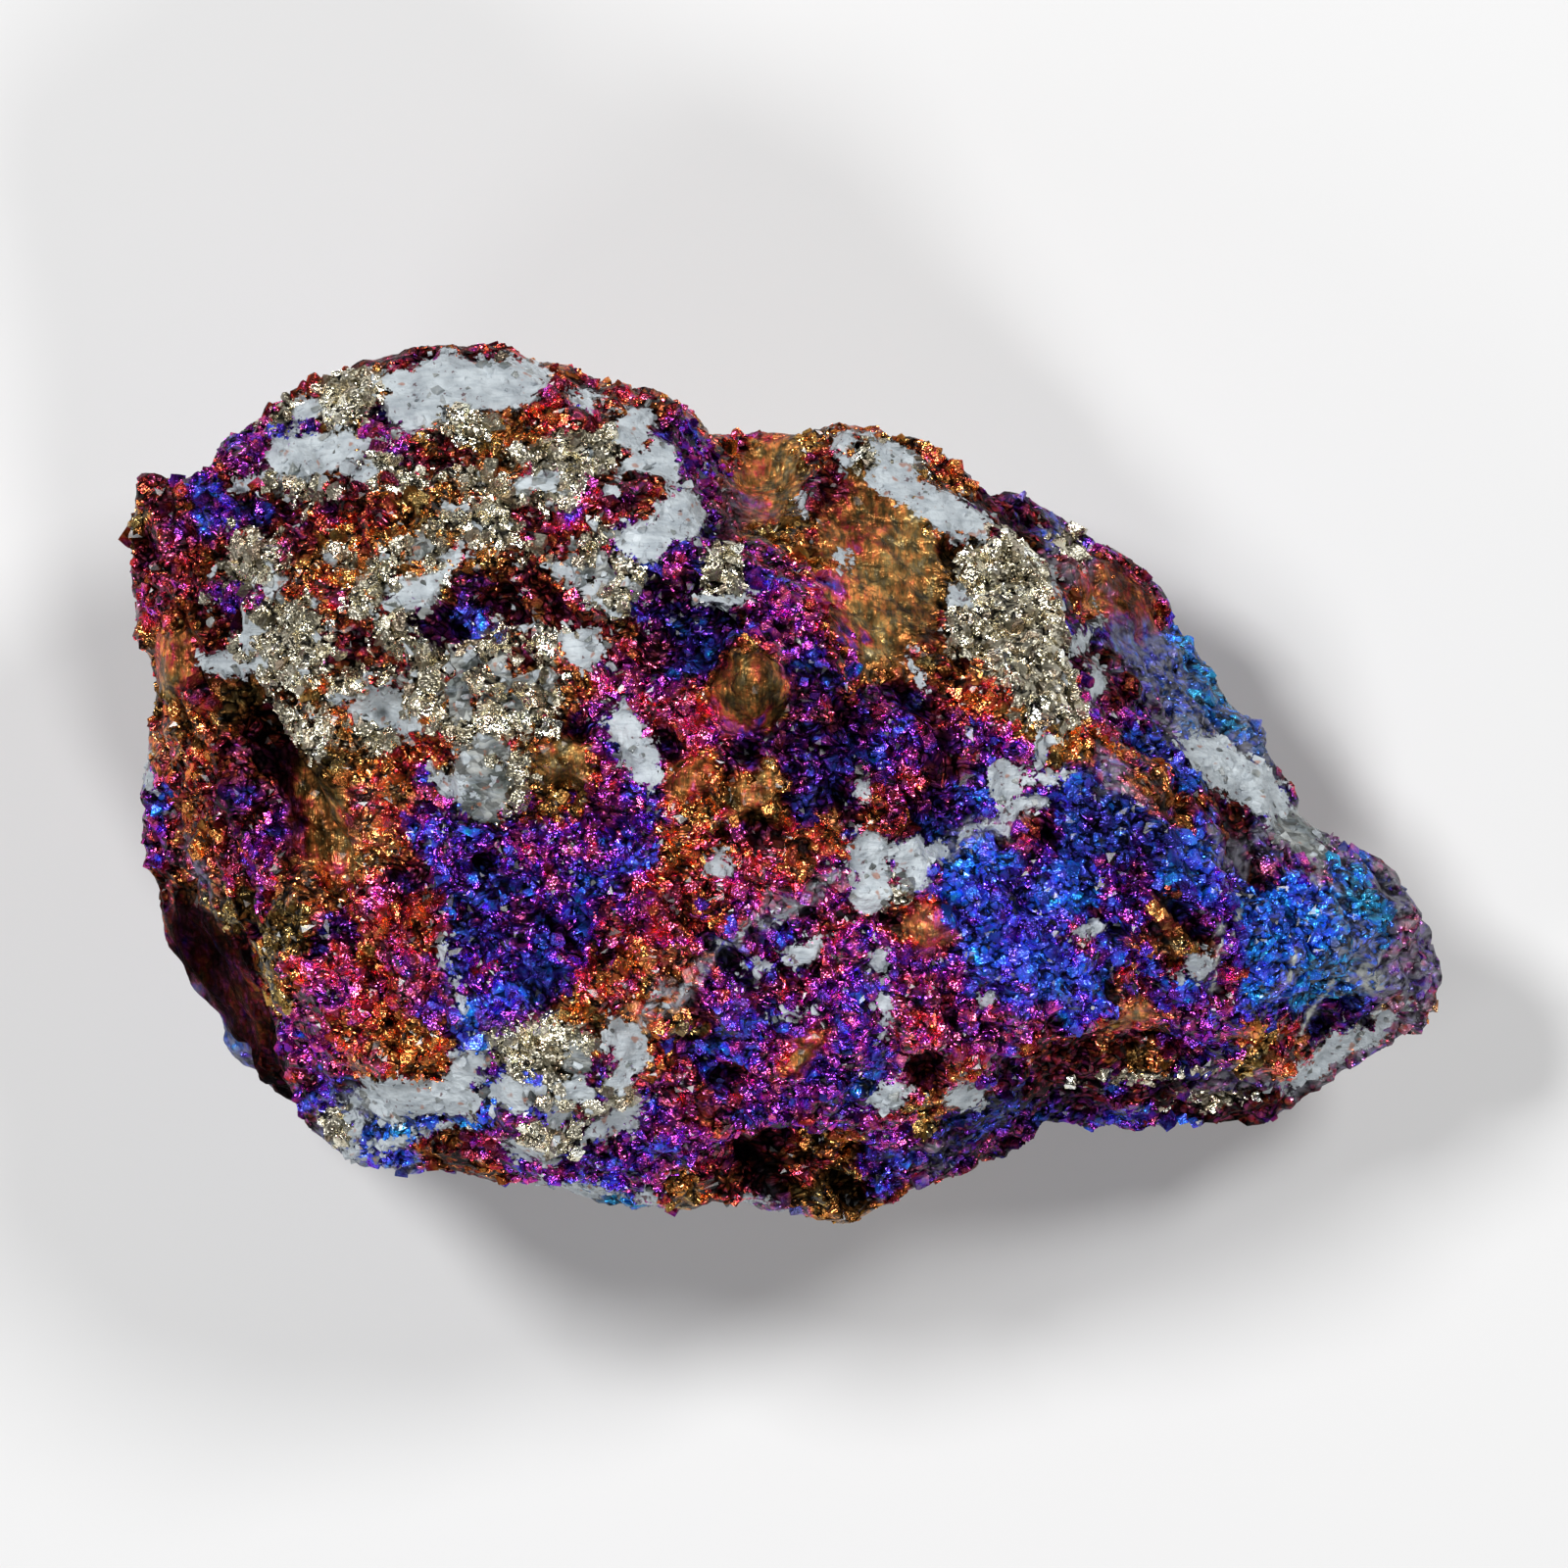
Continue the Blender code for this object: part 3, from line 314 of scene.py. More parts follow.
        (-11.7, -9.8, 2.9, 2.9, 0), (27.2, -11.2, 2.9, 1.9, 10), (19.9, -14.7, 2.9, 1.5, 0),
        (11.7, 13.6, 4.9, 1.3, -32), (2.4, 1.9, 2.4, 2.4, 0),
    ),
    "royal": (
        (16.5, -2.2, 4.9, 3.4, -30), (14.6, -3.5, 2.9, 2.9, 0), (18.5, 1.5, 3.9, 1.8, -20), (17.0, -1.8, 2.2, 1.8, -20),
    ),
    "blue": (
        (-24.4, 17.3, 2.5, 1.6, 10), (-9.3, 17.7, 0.7, 0.7, 0), (-14.7, 7.6, 1.0, 1.3, 0),
        (-16.1, -2.5, 2.4, 1.8, 0), (-13.7, -8.6, 3.4, 3.4, 0),
        (-7.8, -4.4, 2.9, 3.4, 0), (-7.4, -3, 1.5, 1.5, 0), (12.2, -6.2, 3.0, 3.0, 0),
        (10.2, -4.9, 4.4, 3.4, -30), (11.7, -7.8, 5.4, 5.4, 0),
        (9.2, -7.8, 2.9, 3.9, 0), (-2.7, -12.7, 2.9, 1.9, 0), (-11.6, -13.7, 1.3, 2.9, -10),
        (-19.5, -18.6, 2.9, 1.1, -20), (-23.4, -15.5, 1.8, 1.5, -30), (-8.8, -18.8, 2.4, 1.9, 0),
        (5.1, -18.8, 2.4, 2.4, 0), (-30.8, -0.9, 0.8, 1.7, -15),
        (21.4, -4.4, 1.9, 1.9, 0), (16.8, -15.2, 2.4, 1.1, 0), (-2.9, -6.4, 1.3, 1.5, 0),
        (-1, -16.1, 2.4, 0.8, 8), (-9.8, -7.8, 1.9, 2.9, 0), (23.8, -10.8, 1.8, 1.8, 0),
        (13.4, -10.8, 2.9, 2.9, 0),
    ),
    "azure": (
        (-24.8, 17.5, 1.2, 0.8, 0), (-14.9, -10.8, 0.9, 1.8, -10), (10.8, -7.7, 3.4, 2.9, -30),
        (13.6, -5.2, 3.4, 2.9, 0), (20.3, -2.5, 1.7, 2.1, 0), (26.3, -7.8, 5.4, 4.4, 0),
        (24.3, -9.8, 2.4, 2.9, -30), (-19.1, -16.9, 2.6, 1.4, 16), (-14.2, -15.9, 2.9, 0.4, 18),
        (23.8, -6.9, 2.9, 2.9, 0), (25.8, -5.9, 2.9, 2.4, 0), (-7.3, -3.9, 0.8, 1, 0),
        (18.5, -3.9, 1, 1, 0), (-2.7, -6.4, 0.5, 0.6, 0), (9, -5.2, 1.9, 1.9, 0),
        (12.6, -9.3, 2.9, 2.9, 0),
    ),
    "teal": (
        (27.4, -6.4, 1.8, 1.8, 0), (26.4, -8.8, 1.6, 1.6, 0),
        (27.7, -6.9, 4.4, 3.9, -30), (29.2, -7.8, 3.4, 2.9, 0), (27.2, -8.8, 3.4, 2.4, 0),
        (28.5, -4.7, 1.9, 2.4, 0), (20.9, 4.8, 4.4, 2.9, -50), (21.9, 3.4, 3.4, 1.9, -40),
        (19, -3.9, 1, 1, 0), (25.8, -9.8, 2.4, 1.9, 0), (12.6, 1.4, 0.5, 0.5, 0),
        (19.5, 6.8, 2.9, 1.9, -50),
    ),
    "slate": (
        (18.6, 5.3, 5.0, 3.2, -55), (22.0, 1.6, 4.0, 2.0, -50),
        (18, 5.8, 4.4, 3.9, -40), (20.2, 7.7, 3.9, 1.9, -48), (17, 7.7, 2.9, 2.4, 0),
        (21.4, 5.8, 3.9, 2.4, -50), (23.3, 2.9, 2.9, 1.5, -50), (13.6, 12.6, 3.9, 1, -36),
        (18.5, 10.2, 5.8, 0.8, -50),
    ),
    "chalk": (
        (28.0, -8.4, 1.2, 1.9, 20), (29.3, -9.3, 1.8, 0.9, 30), (27.2, -6.6, 0.6, 2.0, 30), (26.2, -4.6, 2.4, 0.8, -40),
    ),
    "mauve": (
        (32.2, -9.6, 1.6, 3.2, 0), (32.1, -7.4, 1.6, 3.0, 0), (31.7, -11.6, 1.6, 1.8, 0),
        (30.4, -12.6, 1.8, 1.2, 30), (25.0, -3.6, 1.6, 1.2, 0),
        (30.7, -7.8, 1.5, 5.8, -20), (31.6, -9.8, 1.7, 3.9, 0), (31.1, -11.7, 1.9, 1.3, 20),
        (11.2, 14.3, 5.4, 0.9, -34), (16, 11.6, 3.9, 0.8, -42), (17, -0, 3.9, 1.9, -30),
        (25.8, -3, 3.9, 1.7, -40), (29.2, -3.9, 2.9, 1.3, -60), (18.5, 3.8, 1.9, 2.4, 0),
        (-2, 13.3, 2.4, 2.9, 0), (21.4, -3, 2.9, 1.9, -20), (7.8, -18.6, 3.4, 1.2, 28),
        (22.4, -15.1, 5.8, 1.5, 8),
    ),
}

# Small loose-looking grains: how many, their size in millimetres, corners broken off and how deep they sit
SCATTERED = {
    "brass_grains": (3800, (0.2, 0.8), 5, 0.28),
    "tarnished_chips": (7800, (0.22, 0.72), 4, 0.32),
    "quartz_crumbs": (1100, (0.22, 0.65), 6, 0.26),
}

# Grains in the ore: size in millimetres of the coarse and the fine ones, and how far their facets tilt
COARSE_GRAIN = 0.8
FINE_GRAIN = 0.34
COARSE_TILT = 0.8
FINE_TILT = 0.85
GRAIN_STRETCH = (0.8, 1.2, 1.0)
RAGGED_EDGE = 2.0

# Hues that the film takes as it thickens
FILM_COLOURS = (
    (0.0, (0.78, 0.62, 0.34)),
    (0.10, (0.52, 0.35, 0.12)),
    (0.20, (0.70, 0.32, 0.09)),
    (0.29, (1.0, 0.33, 0.09)),
    (0.37, (1.0, 0.21, 0.10)),
    (0.45, (0.76, 0.045, 0.08)),
    (0.53, (1.0, 0.19, 0.38)),
    (0.60, (0.68, 0.07, 0.48)),
    (0.68, (0.36, 0.06, 0.62)),
    (0.76, (0.16, 0.06, 0.78)),
    (0.84, (0.11, 0.14, 1.0)),
    (0.92, (0.03, 0.20, 1.0)),
    (1.0, (0.03, 0.40, 0.75)),
)
FILM_WANDER = ((1.6, 0.78), (0.45, 0.4))
FILM_BY_GRAIN = 0.14
# Each grain's colour lighter or darker at random, partly as painted glints, and how much colour the painted shade in
# the gaps between grains leaves
GRAIN_TONE_AND_PAINTED_GLINT = (0.25, 1.45)
GAP_PAINTED_SHADE = 0.06
ORE_METAL = 0.93
BLUE_METAL = 0.6
ORE_COAT = 0.5
ORE_ROUGHNESS = (0.32, 0.14)
DUST_COLOUR = (0.27, 0.27, 0.31)
CHALK_COLOUR = (0.44, 0.46, 0.42)
EDGE_TINT = (0.15, 0.15, 0.15, 1.0)

# Studio: compass turn and climb in degrees, distance and size in metres, and power in watts
LIGHTS = {
    "key_light": (145.0, 52.0, 0.55, 0.14, 2.2),
    "left_light": (215.0, 38.0, 0.50, 0.12, 0.25),
    "right_light": (40.0, 48.0, 0.50, 0.14, 1.3),
    "front_light": (290.0, 42.0, 0.50, 0.12, 1.0),
}
WORLD_COLOUR = (0.75, 0.77, 0.80)
WORLD_STRENGTH = 0.03
FLOOR_COLOUR = (0.72, 0.72, 0.72)
FLOOR_HALF = 3.0
CAMERA_HEIGHT = 0.613
LENS = 278.6

# Thin quartz veins, from point to point, and half their width
VEINS = (
    ((-6.8, -11.3), (-4.9, -9.8), (-2.7, -7.5), (0.0, -6.1), (2.4, -4.8)),
    ((6.3, -4.4), (9.0, -2.7), (11.2, -1.7)),
)
SCRATCHES = (
    ((21.4, -6.9), (20.9, -10.1)), ((25.1, -8.0), (24.7, -9.8)), ((27.2, -9.6), (25.4, -12.6)),
    ((29.6, -11.2), (28.4, -12.2)), ((22.3, -6.4), (21.9, -7.9)),
)
SCRATCH_HALF = 0.22
VEIN_HALF = 0.1
VEIN_DUST = 0.8

# Parts of the rim that stand further out: x, y, how far they reach and how far out
RIM_SWELLS = (
    (-2.7, 18.6, 3.2, 0.55), (16.5, 9.8, 5.0, 0.5), (20.5, 4.0, 3.0, 0.3), (-31.5, 13.0, 5.0, -0.35),
    (-21.0, 20.0, 5.0, -0.3), (-31.0, 2.0, 4.0, -0.2), (11.5, -17.0, 4.0, 0.35), (-9.0, -20.4, 5.0, 0.2),
)

# Smooth rounded knobs that stand out of the ore: x, y, length, width, turn in degrees, and height
KNOBS = (
    (-1.6, 4.4, 3.6, 5.0, -35.0, 0.7), (7.0, -6.9, 2.8, 2.2, 10.0, 0.6), (0.9, -12.9, 2.2, 2.8, -15.0, 0.5),
)

# Where the plateau's ore is shot through with small grains of brass and quartz, as ovals
SPECKLED = ((-20.0, 9.5, 22.0, 17.0, -10.0), (-12.0, 4.5, 12.0, 8.0, -20.0), (-11.0, 12.5, 12.0, 12.0, 0.0))

# Where ore shows through the quartz and the brass, as ovals
BARE_ORE = (
    (-6.8, 14.3, 2.1, 1.9, 0.0), (-15.9, 7.9, 4.4, 2.2, 10.0), (-12.6, 6.2, 1.8, 1.4, 0.0),
    (-22.5, 12.6, 3.2, 1.6, 0.0), (-18.6, 12.9, 2.6, 2.0, 0.0), (-11.6, 12.3, 2.8, 1.4, -25.0),
    (-20.6, 6.4, 3.4, 1.3, -30.0), (-21.9, 9.0, 3.4, 1.0, -25.0), (-11.2, 8.6, 3.6, 1.4, -5.0),
)

# Where the ore is worn smooth and finely streaked, as ovals
SMOOTH = (
    (4.6, 10.3, 6.6, 12.5, -4.0), (-0.8, 14.6, 3.8, 6.8, -5.0), (-1.6, 4.3, 3.6, 5.0, -35.0),
    (-22.3, -1.6, 4.6, 7.6, 20.0), (-1.6, -0.3, 2.0, 2.6, -35.0), (-4.5, 0.2, 2.2, 2.8, -30.0),
    (7.0, -6.9, 2.8, 2.2, 10.0), (0.9, -12.9, 2.2, 2.8, -15.0), (16.6, 8.6, 3.6, 6.0, 30.0),
    (-10.6, 0.9, 2.6, 2.6, 0.0), (-28.0, -10.0, 5.5, 9.0, 30.0), (-29.8, 6.0, 3.0, 3.6, 0.0), (17.0, -11.4, 2.0, 2.0, 0.0),
)

# What the sides and the underside are made of: a tarnish, and its share of them
SIDE_TARNISH = {
    "maroon": 3, "crimson": 3, "purple": 4, "dusk": 3, "indigo": 3, "blue": 3, "teal": 1, "rust": 3, "copper": 2,
    "olive": 2, "dark_olive_and_painted_shade": 2, "magenta": 3, "slate": 1, "mauve": 1, "orange": 2, "red": 2,
}
SIDE_PLACES = 150
SIDE_QUARTZ = 15
SIDE_GREY = 7
SIDE_BRASS = 14

# Fine surface: distance between broken facets and how far they tilt, for two sizes of facet, in millimetres
FACETS = ((1.1, 0.36, 0.78), (0.52, 0.36, 0.6))
GRIT = ((2.4, 0.42), (0.95, 0.2), (0.38, 0.07))

# Flutes that run down the broken ore: which way, their length and width, and how high
FLUTE_WAY = math.radians(-52.0)
FLUTE_SIZE = (5.0, 1.5)
FLUTE_HEIGHT = 0.6
REMESH = 0.27
BODY_TRIANGLES = 186000
QUARTZ_SMOOTHNESS = 0.72
SIDE_RELIEF = 0.45
# Painted shade in the hollows: the depth in millimetres at which it is darkest, and how much of the colour it takes
# away
HOLLOW_DEPTH = 0.34
HOLLOW_SHADE = 0.92
RESTING_CLEARANCE = 0.35


def smooth_step(share):
    share = np.clip(share, 0.0, 1.0)
    return share * share * (3.0 - 2.0 * share)


def points_of(mesh):
    """Every point of a mesh, in millimetres."""
    values = np.empty(len(mesh.vertices) * 3, np.float32)
    mesh.vertices.foreach_get("co", values)
    return values.reshape(-1, 3).astype(float) / MM


def set_points(mesh, points):
    mesh.vertices.foreach_set("co", (points * MM).astype(np.float32).ravel())
    mesh.update()


def normals_of(mesh):
    values = np.empty(len(mesh.vertices) * 3, np.float32)
    mesh.vertex_normals.foreach_get("vector", values)
    return values.reshape(-1, 3).astype(float)


def noise_at(points, size, shift):
    """Smooth noise about 0 for each point, with features this many millimetres across."""
    move = Vector((shift, 2.7 * shift, -1.3 * shift))
    return np.array([noise.noise(Vector(p) / size + move) for p in points])


def noise_vectors(points, size, shift):
    move = Vector((shift, 2.7 * shift, -1.3 * shift))
    return np.array([noise.noise_vector(Vector(p) / size + move) for p in points])


def applied(piece):
    """The piece's mesh with its modifiers made real."""
    graph = bpy.context.evaluated_depsgraph_get()
    result = bpy.data.meshes.new_from_object(piece.evaluated_get(graph))
    piece.modifiers.clear()
    piece.data = result
    return piece


def new_piece(name, mesh):
    piece = bpy.data.objects.new(name, mesh)
    bpy.context.scene.collection.objects.link(piece)
    return piece


def far_from_lines(points, lines):
    """How many millimetres each point is from the nearest of these lines, seen from above."""
    far = np.full(len(points), 9.0)
    for vein in lines:
        for (x0, y0), (x1, y1) in zip(vein, vein[1:]):
            run = np.array([x1 - x0, y1 - y0])
            share = np.clip((points[:, :2] - (x0, y0)) @ run / (run @ run), 0.0, 1.0)
            nearest = (x0, y0) + share[:, None] * run
            far = np.minimum(far, np.linalg.norm(points[:, :2] - nearest, axis=1))
    return far + 9.0 * (points[:, 2] < 10.0)


class Places:
    """Named places on the stone's surface, and how near each point of a mesh is to them."""

    def __init__(self, tree, rng):
        self.tree = tree
        self.white = self.seen(WHITE_QUARTZ)
        self.grey = self.seen(GREY_QUARTZ)
        self.brass = self.seen(FRESH_BRASS)
        self.speckled = self.seen(SPECKLED)
        self.smooth = self.seen(SMOOTH)
        self.bare = self.seen(BARE_ORE)
        self.film = []
        for name, rows in TARNISH_PLACES.items():
            self.film += [(place, TARNISH[name]) for place in self.seen(rows)]
        self.spread_round_the_sides(rng)

    def seen(self, rows):
        """Gives each oval the height of the surface that it lies on."""
        found = []
        for x, y, length, width, turn in rows:
            hit = self.tree.ray_cast(Vector((x, y, 90.0)), Vector((0.0, 0.0, -1.0)))[0]
            if hit is None:
                hit = self.tree.find_nearest(Vector((x, y, 14.0)))[0]
            reach = 0.55 * max(length, width) + 2.0
            found.append((hit.x, hit.y, hit.z, 0.5 * length, 0.5 * width, reach, math.radians(turn)))
        return found

    def spread_round_the_sides(self, rng):
        """Random places on what the top doesn't show."""
        names = [name for name, share in SIDE_TARNISH.items() for _ in range(share)]
        for number in range(SIDE_PLACES):
            place = self.hidden_place(rng, 2.0, 4.6, 0.05)
            self.film.append((place, TARNISH[names[rng.integers(len(names))]]))
        for number in range(SIDE_QUARTZ):
            x, y, z, long, wide, deep, turn = self.hidden_place(rng, 0.8, 3.2)
            for _ in range(3):
                dx, dy, dz = rng.normal(0.0, 0.75 * long, 3)
                size = rng.uniform(0.35, 0.9)
                spun = turn + rng.normal(0.0, 0.6)
                self.white.append((x + dx, y + dy, z + dz, long * size, wide * size * 0.7, deep * size, spun))
        self.grey += [self.hidden_place(rng, 1.2, 3.2) for _ in range(SIDE_GREY)]
        self.brass += [self.hidden_place(rng, 0.9, 3.0) for _ in range(SIDE_BRASS)]

    def hidden_place(self, rng, smallest, largest, steepest=-0.08):
        """A random place on what can't be seen from above."""
        while True:
            way = rng.normal(0.0, 1.0, 3) * (1.0, 0.8, 0.5)
            way[2] -= 0.35
            way /= np.linalg.norm(way)
            hit, normal = self.tree.ray_cast(Vector((-2.0, -1.0, 14.0)), Vector(way))[:2]
            if hit is not None and normal.z < steepest:
                break
        long = rng.uniform(smallest, largest)
        wide = long * rng.uniform(0.5, 0.9)
        return (hit.x, hit.y, hit.z, long, wide, 0.5 * (long + wide), rng.uniform(0.0, math.pi))


def squared_distance(points, place):
    """How far each point is from a place's middle, squared: 1 is the edge of its oval."""
    x, y, z, long, wide, deep, turn = place
    cos, sin = math.cos(turn), math.sin(turn)
    along = ((points[:, 0] - x) * cos + (points[:, 1] - y) * sin) / long
    across = ((points[:, 1] - y) * cos - (points[:, 0] - x) * sin) / wide
    down = (points[:, 2] - z) / deep
    return along**2 + across**2 + down**2


def inside(points, places):
    """How many millimetres each point lies inside the nearest of these places, below 0 outside."""
    best = np.full(len(points), -3.0)
    for place in places:
        depth = (1.0 - np.sqrt(squared_distance(points, place))) * min(place[3], place[4], 1.5)
        best = np.maximum(best, depth)
    return best


def minerals(points, places):
    """What each point of the surface is made of."""
    wander = 1.5 * noise_vectors(points, 2.0, 3.0) + 0.8 * noise_vectors(points, 0.8, 9.0)
    strayed = points + wander
    softly = points + 0.3 * wander
    fine = noise_at(points, 1.1, 21.0)
    speckled = smooth_step(0.5 + inside(points, places.speckled))
    white = inside(softly, places.white) + 0.08
    white = np.maximum(white, np.minimum(0.6, (fine - 0.46) * 3.0) * speckled - 2.0 * (1.0 - speckled))
    brass = inside(softly, places.brass)
    speck = noise_at(points, 1.2, 33.0)
    brass = np.maximum(brass, np.minimum(0.6, (speck - 0.47) * 3.0) * speckled - 2.0 * (1.0 - speckled))
    grey = inside(softly, places.grey)
    mixed = (grey > -0.2) & (speckled > 0.5)
    brass = np.where(mixed, np.maximum(brass, np.minimum(0.5, (speck + 0.12) * 3.0)), brass)
    gaps = np.minimum(0.5 - 4.0 * (speck + 0.16), 0.7 + 3.0 * fine)
    grey = np.where(speckled > 0.5, np.minimum(grey, gaps), grey)
    covered = -1.2 * inside(softly, places.bare)
    white, grey, brass = (np.minimum(depth, covered) for depth in (white, grey, brass))
    vein = far_from_lines(points + 0.6 * wander, VEINS)
    white = np.maximum(white, VEIN_HALF - vein + 0.4 * fine)
    film, shine, dust = film_at(strayed, places.film)
    dust = np.maximum(dust, 0.7 * smooth_step(1.0 - vein / VEIN_DUST))
    scratch = far_from_lines(points + 0.1 * wander, SCRATCHES)
    dust = np.maximum(dust, smooth_step(1.6 - 1.6 * scratch / SCRATCH_HALF))
    smooth = smooth_step(0.4 + inside(softly, places.smooth) / 0.9)
    return {
        "white": white, "grey": grey, "brass": brass, "film": film, "shine": shine, "dust": dust, "smooth": smooth,
    }


def film_at(points, film_places, chunk=20000):
    """Blends the tarnish places, with the small ones on top of the large."""
    values = np.array([value for _, value in film_places])
    size = np.array([math.sqrt(place[3] * place[4]) for place, _ in film_places])
    result = np.empty((len(points), 3))
    for start in range(0, len(points), chunk):
        part = points[start : start + chunk]
        near = np.stack([-3.2 * squared_distance(part, place) for place, _ in film_places], axis=1)
        near -= 1.1 * np.log(size)
        near -= near.max(axis=1)[:, None]
        weight = np.exp(near)
        result[start : start + chunk] = weight @ values / weight.sum(axis=1)[:, None]
    return result.T


def flutes(points):
    """Long low ridges side by side, from -1 in the furrows to 1 on the crests."""
    cos, sin = math.cos(FLUTE_WAY), math.sin(FLUTE_WAY)
    along = (points[:, 0] * cos + points[:, 1] * sin) / FLUTE_SIZE[0]
    across = (points[:, 1] * cos - points[:, 0] * sin) / FLUTE_SIZE[1]
    drawn_out = np.stack([along, across, points[:, 2] / 3.0], axis=1)
    return 1.0 - 3.0 * np.abs(noise_at(drawn_out, 1.0, 61.0))


def fine_copy():
    """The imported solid's mesh, merged and remeshed finely."""
    shape = bmesh.new()
    shape.from_mesh(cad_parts[NODE].data)
    bmesh.ops.remove_doubles(shape, verts=shape.verts[:], dist=0.001 * MM)
    mesh = bpy.data.meshes.new("stone_body")
    shape.to_mesh(mesh)
    shape.free()
    piece = new_piece("stone_body", mesh)
    finer = piece.modifiers.new("finer", "REMESH")
    finer.mode = "VOXEL"
    finer.voxel_size = REMESH * MM
    return applied(piece)


def facet_centres(points, spacing, rng):
    """Places spread over the surface, about one to each square of this spacing."""
    cells = np.floor(points / spacing).astype(int)
    keep = rng.permutation(len(points))
    _, first = np.unique(cells[keep], axis=0, return_index=True)
    return keep[first]


def broken_facets(points, normals, amount, spacing, tilt, rng):
    """Presses each small patch of the surface onto a flat facet, tilted a little its own way."""
    centres = facet_centres(points, spacing, rng)
    tree = kdtree.KDTree(len(centres))
    for number, index in enumerate(centres):
        tree.insert(points[index], number)
    tree.balance()
    nearest = np.array([tree.find(p)[1] for p in points])
    facing = normals[centres] + rng.normal(0.0, tilt, (len(centres), 3))
    facing /= np.linalg.norm(facing, axis=1)[:, None]
    offset = np.einsum("ij,ij->i", points - points[centres][nearest], facing[nearest])
    return points - facing[nearest] * (offset * amount)[:, None]


def swollen_rim(points, normals):
    """Moves the rim outwards where the stone is fuller."""
    out = normals * (1.0, 1.0, 0.0)
    push = np.zeros(len(points))
    for x, y, reach, amount in RIM_SWELLS:
        near = ((points[:, 0] - x) ** 2 + (points[:, 1] - y) ** 2) / reach**2
        push = push + amount * np.exp(-near)
    return points + out * (push * smooth_step(points[:, 2] / 4.0))[:, None]


def knobs(points):
    """How far the rounded knobs raise each point."""
    raised = np.zeros(len(points))
    for x, y, length, width, turn, height in KNOBS:
        place = (x, y, 0.0, 0.5 * length, 0.5 * width, 999.0, math.radians(turn))
        domed = np.sqrt(np.clip(1.0 - squared_distance(points, place), 0.0, 1.0))
        raised = np.maximum(raised, height * domed)
    return raised * (points[:, 2] > 10.0)


def rough_body(places):
    """The stone's whole surface, with its facets and grit, at rest on its flat face."""
    rng = np.random.default_rng(SEED)
    body = fine_copy()
    mesh = body.data
    points, normals = points_of(mesh), normals_of(mesh)
    points = swollen_rim(points, normals)
    unbroken, facing_out = points, normals
    made_of = minerals(points, places)
    quartz = smooth_step(0.5 + np.maximum(made_of["white"], made_of["grey"]) / 0.4)
    worn = 1.0 - 0.8 * made_of["smooth"]
    standing = smooth_step((points[:, 2] - RESTING_CLEARANCE) / 0.8)
    amount = (1.0 - QUARTZ_SMOOTHNESS * quartz) * standing * worn
    amount *= SIDE_RELIEF + (1.0 - SIDE_RELIEF) * smooth_step(0.2 + normals[:, 2])
    for spacing, tilt, strength in FACETS:
        points = broken_facets(points, normals, amount * strength, spacing, tilt, rng)
        set_points(mesh, points)
        normals = normals_of(mesh)
    lift = sum(height * noise_at(points, size, 40.0 + size) for size, height in GRIT)
    lift += FLUTE_HEIGHT * flutes(points) * (1.0 - quartz) * worn * smooth_step(normals[:, 2])
    points = points + normals * (lift * (0.35 + 0.65 * amount) * standing)[:, None]
    points[:, 2] += knobs(points)
    points[:, 2] = np.where(points[:, 2] < 0.2, 0.0, points[:, 2])
    set_points(mesh, points)
    # How far each point was pressed in below the unbroken surface, which sets the painted shade of the hollows
    deep = np.einsum("ij,ij->i", unbroken - points, facing_out)
    tree = kdtree.KDTree(len(points))
    for number, point in enumerate(points):
        tree.insert(point, number)
    tree.balance()
    fewer = body.modifiers.new("fewer", "DECIMATE")
    fewer.ratio = BODY_TRIANGLES / (2.0 * len(mesh.polygons))
    fewer.use_collapse_triangulate = True
    applied(body)
    kept = [tree.find(point)[1] for point in points_of(body.data)]
    return body, deep[kept]


def give(mesh, values):
    """Stores what each point is made of, for the materials to read."""
    for name, numbers in values.items():
        kept = mesh.attributes.new(name, "FLOAT", "POINT")
        kept.data.foreach_set("value", np.asarray(numbers, np.float32))


def grain_shapes(rng, count, cuts):
    """Small angular lumps: a cube with its corners broken off."""
    shapes = []
    for _ in range(count):
        lump = bmesh.new()
        bmesh.ops.create_cube(lump, size=1.0)
        for _ in range(cuts):
            way = Vector(rng.normal(0.0, 1.0, 3)).normalized()
            every = lump.verts[:] + lump.edges[:] + lump.faces[:]
            bmesh.ops.bisect_plane(
                lump, geom=every, plane_co=way * rng.uniform(0.34, 0.5), plane_no=way, clear_outer=True
            )
            bmesh.ops.holes_fill(lump, edges=[edge for edge in lump.edges if edge.is_boundary], sides=0)
        bmesh.ops.triangulate(lump, faces=lump.faces[:])
        bmesh.ops.recalc_face_normals(lump, faces=lump.faces[:])
        lump.verts.index_update()
        corners = np.array([vert.co for vert in lump.verts])
        sides = np.array([[vert.index for vert in face.verts] for face in lump.faces])
        lump.free()
        shapes.append((corners, sides))
    return shapes


def random_turns(rng, count):
    """Turning matrices, evenly spread."""
    spin = rng.normal(0.0, 1.0, (count, 4))
    w, x, y, z = (spin / np.linalg.norm(spin, axis=1)[:, None]).T
    return np.stack(
        [
            np.stack([1 - 2 * (y * y + z * z), 2 * (x * y - z * w), 2 * (x * z + y * w)], axis=1),
            np.stack([2 * (x * y + z * w), 1 - 2 * (x * x + z * z), 2 * (y * z - x * w)], axis=1),
            np.stack([2 * (x * z - y * w), 2 * (y * z + x * w), 1 - 2 * (x * x + y * y)], axis=1),
        ],
        axis=1,
    )


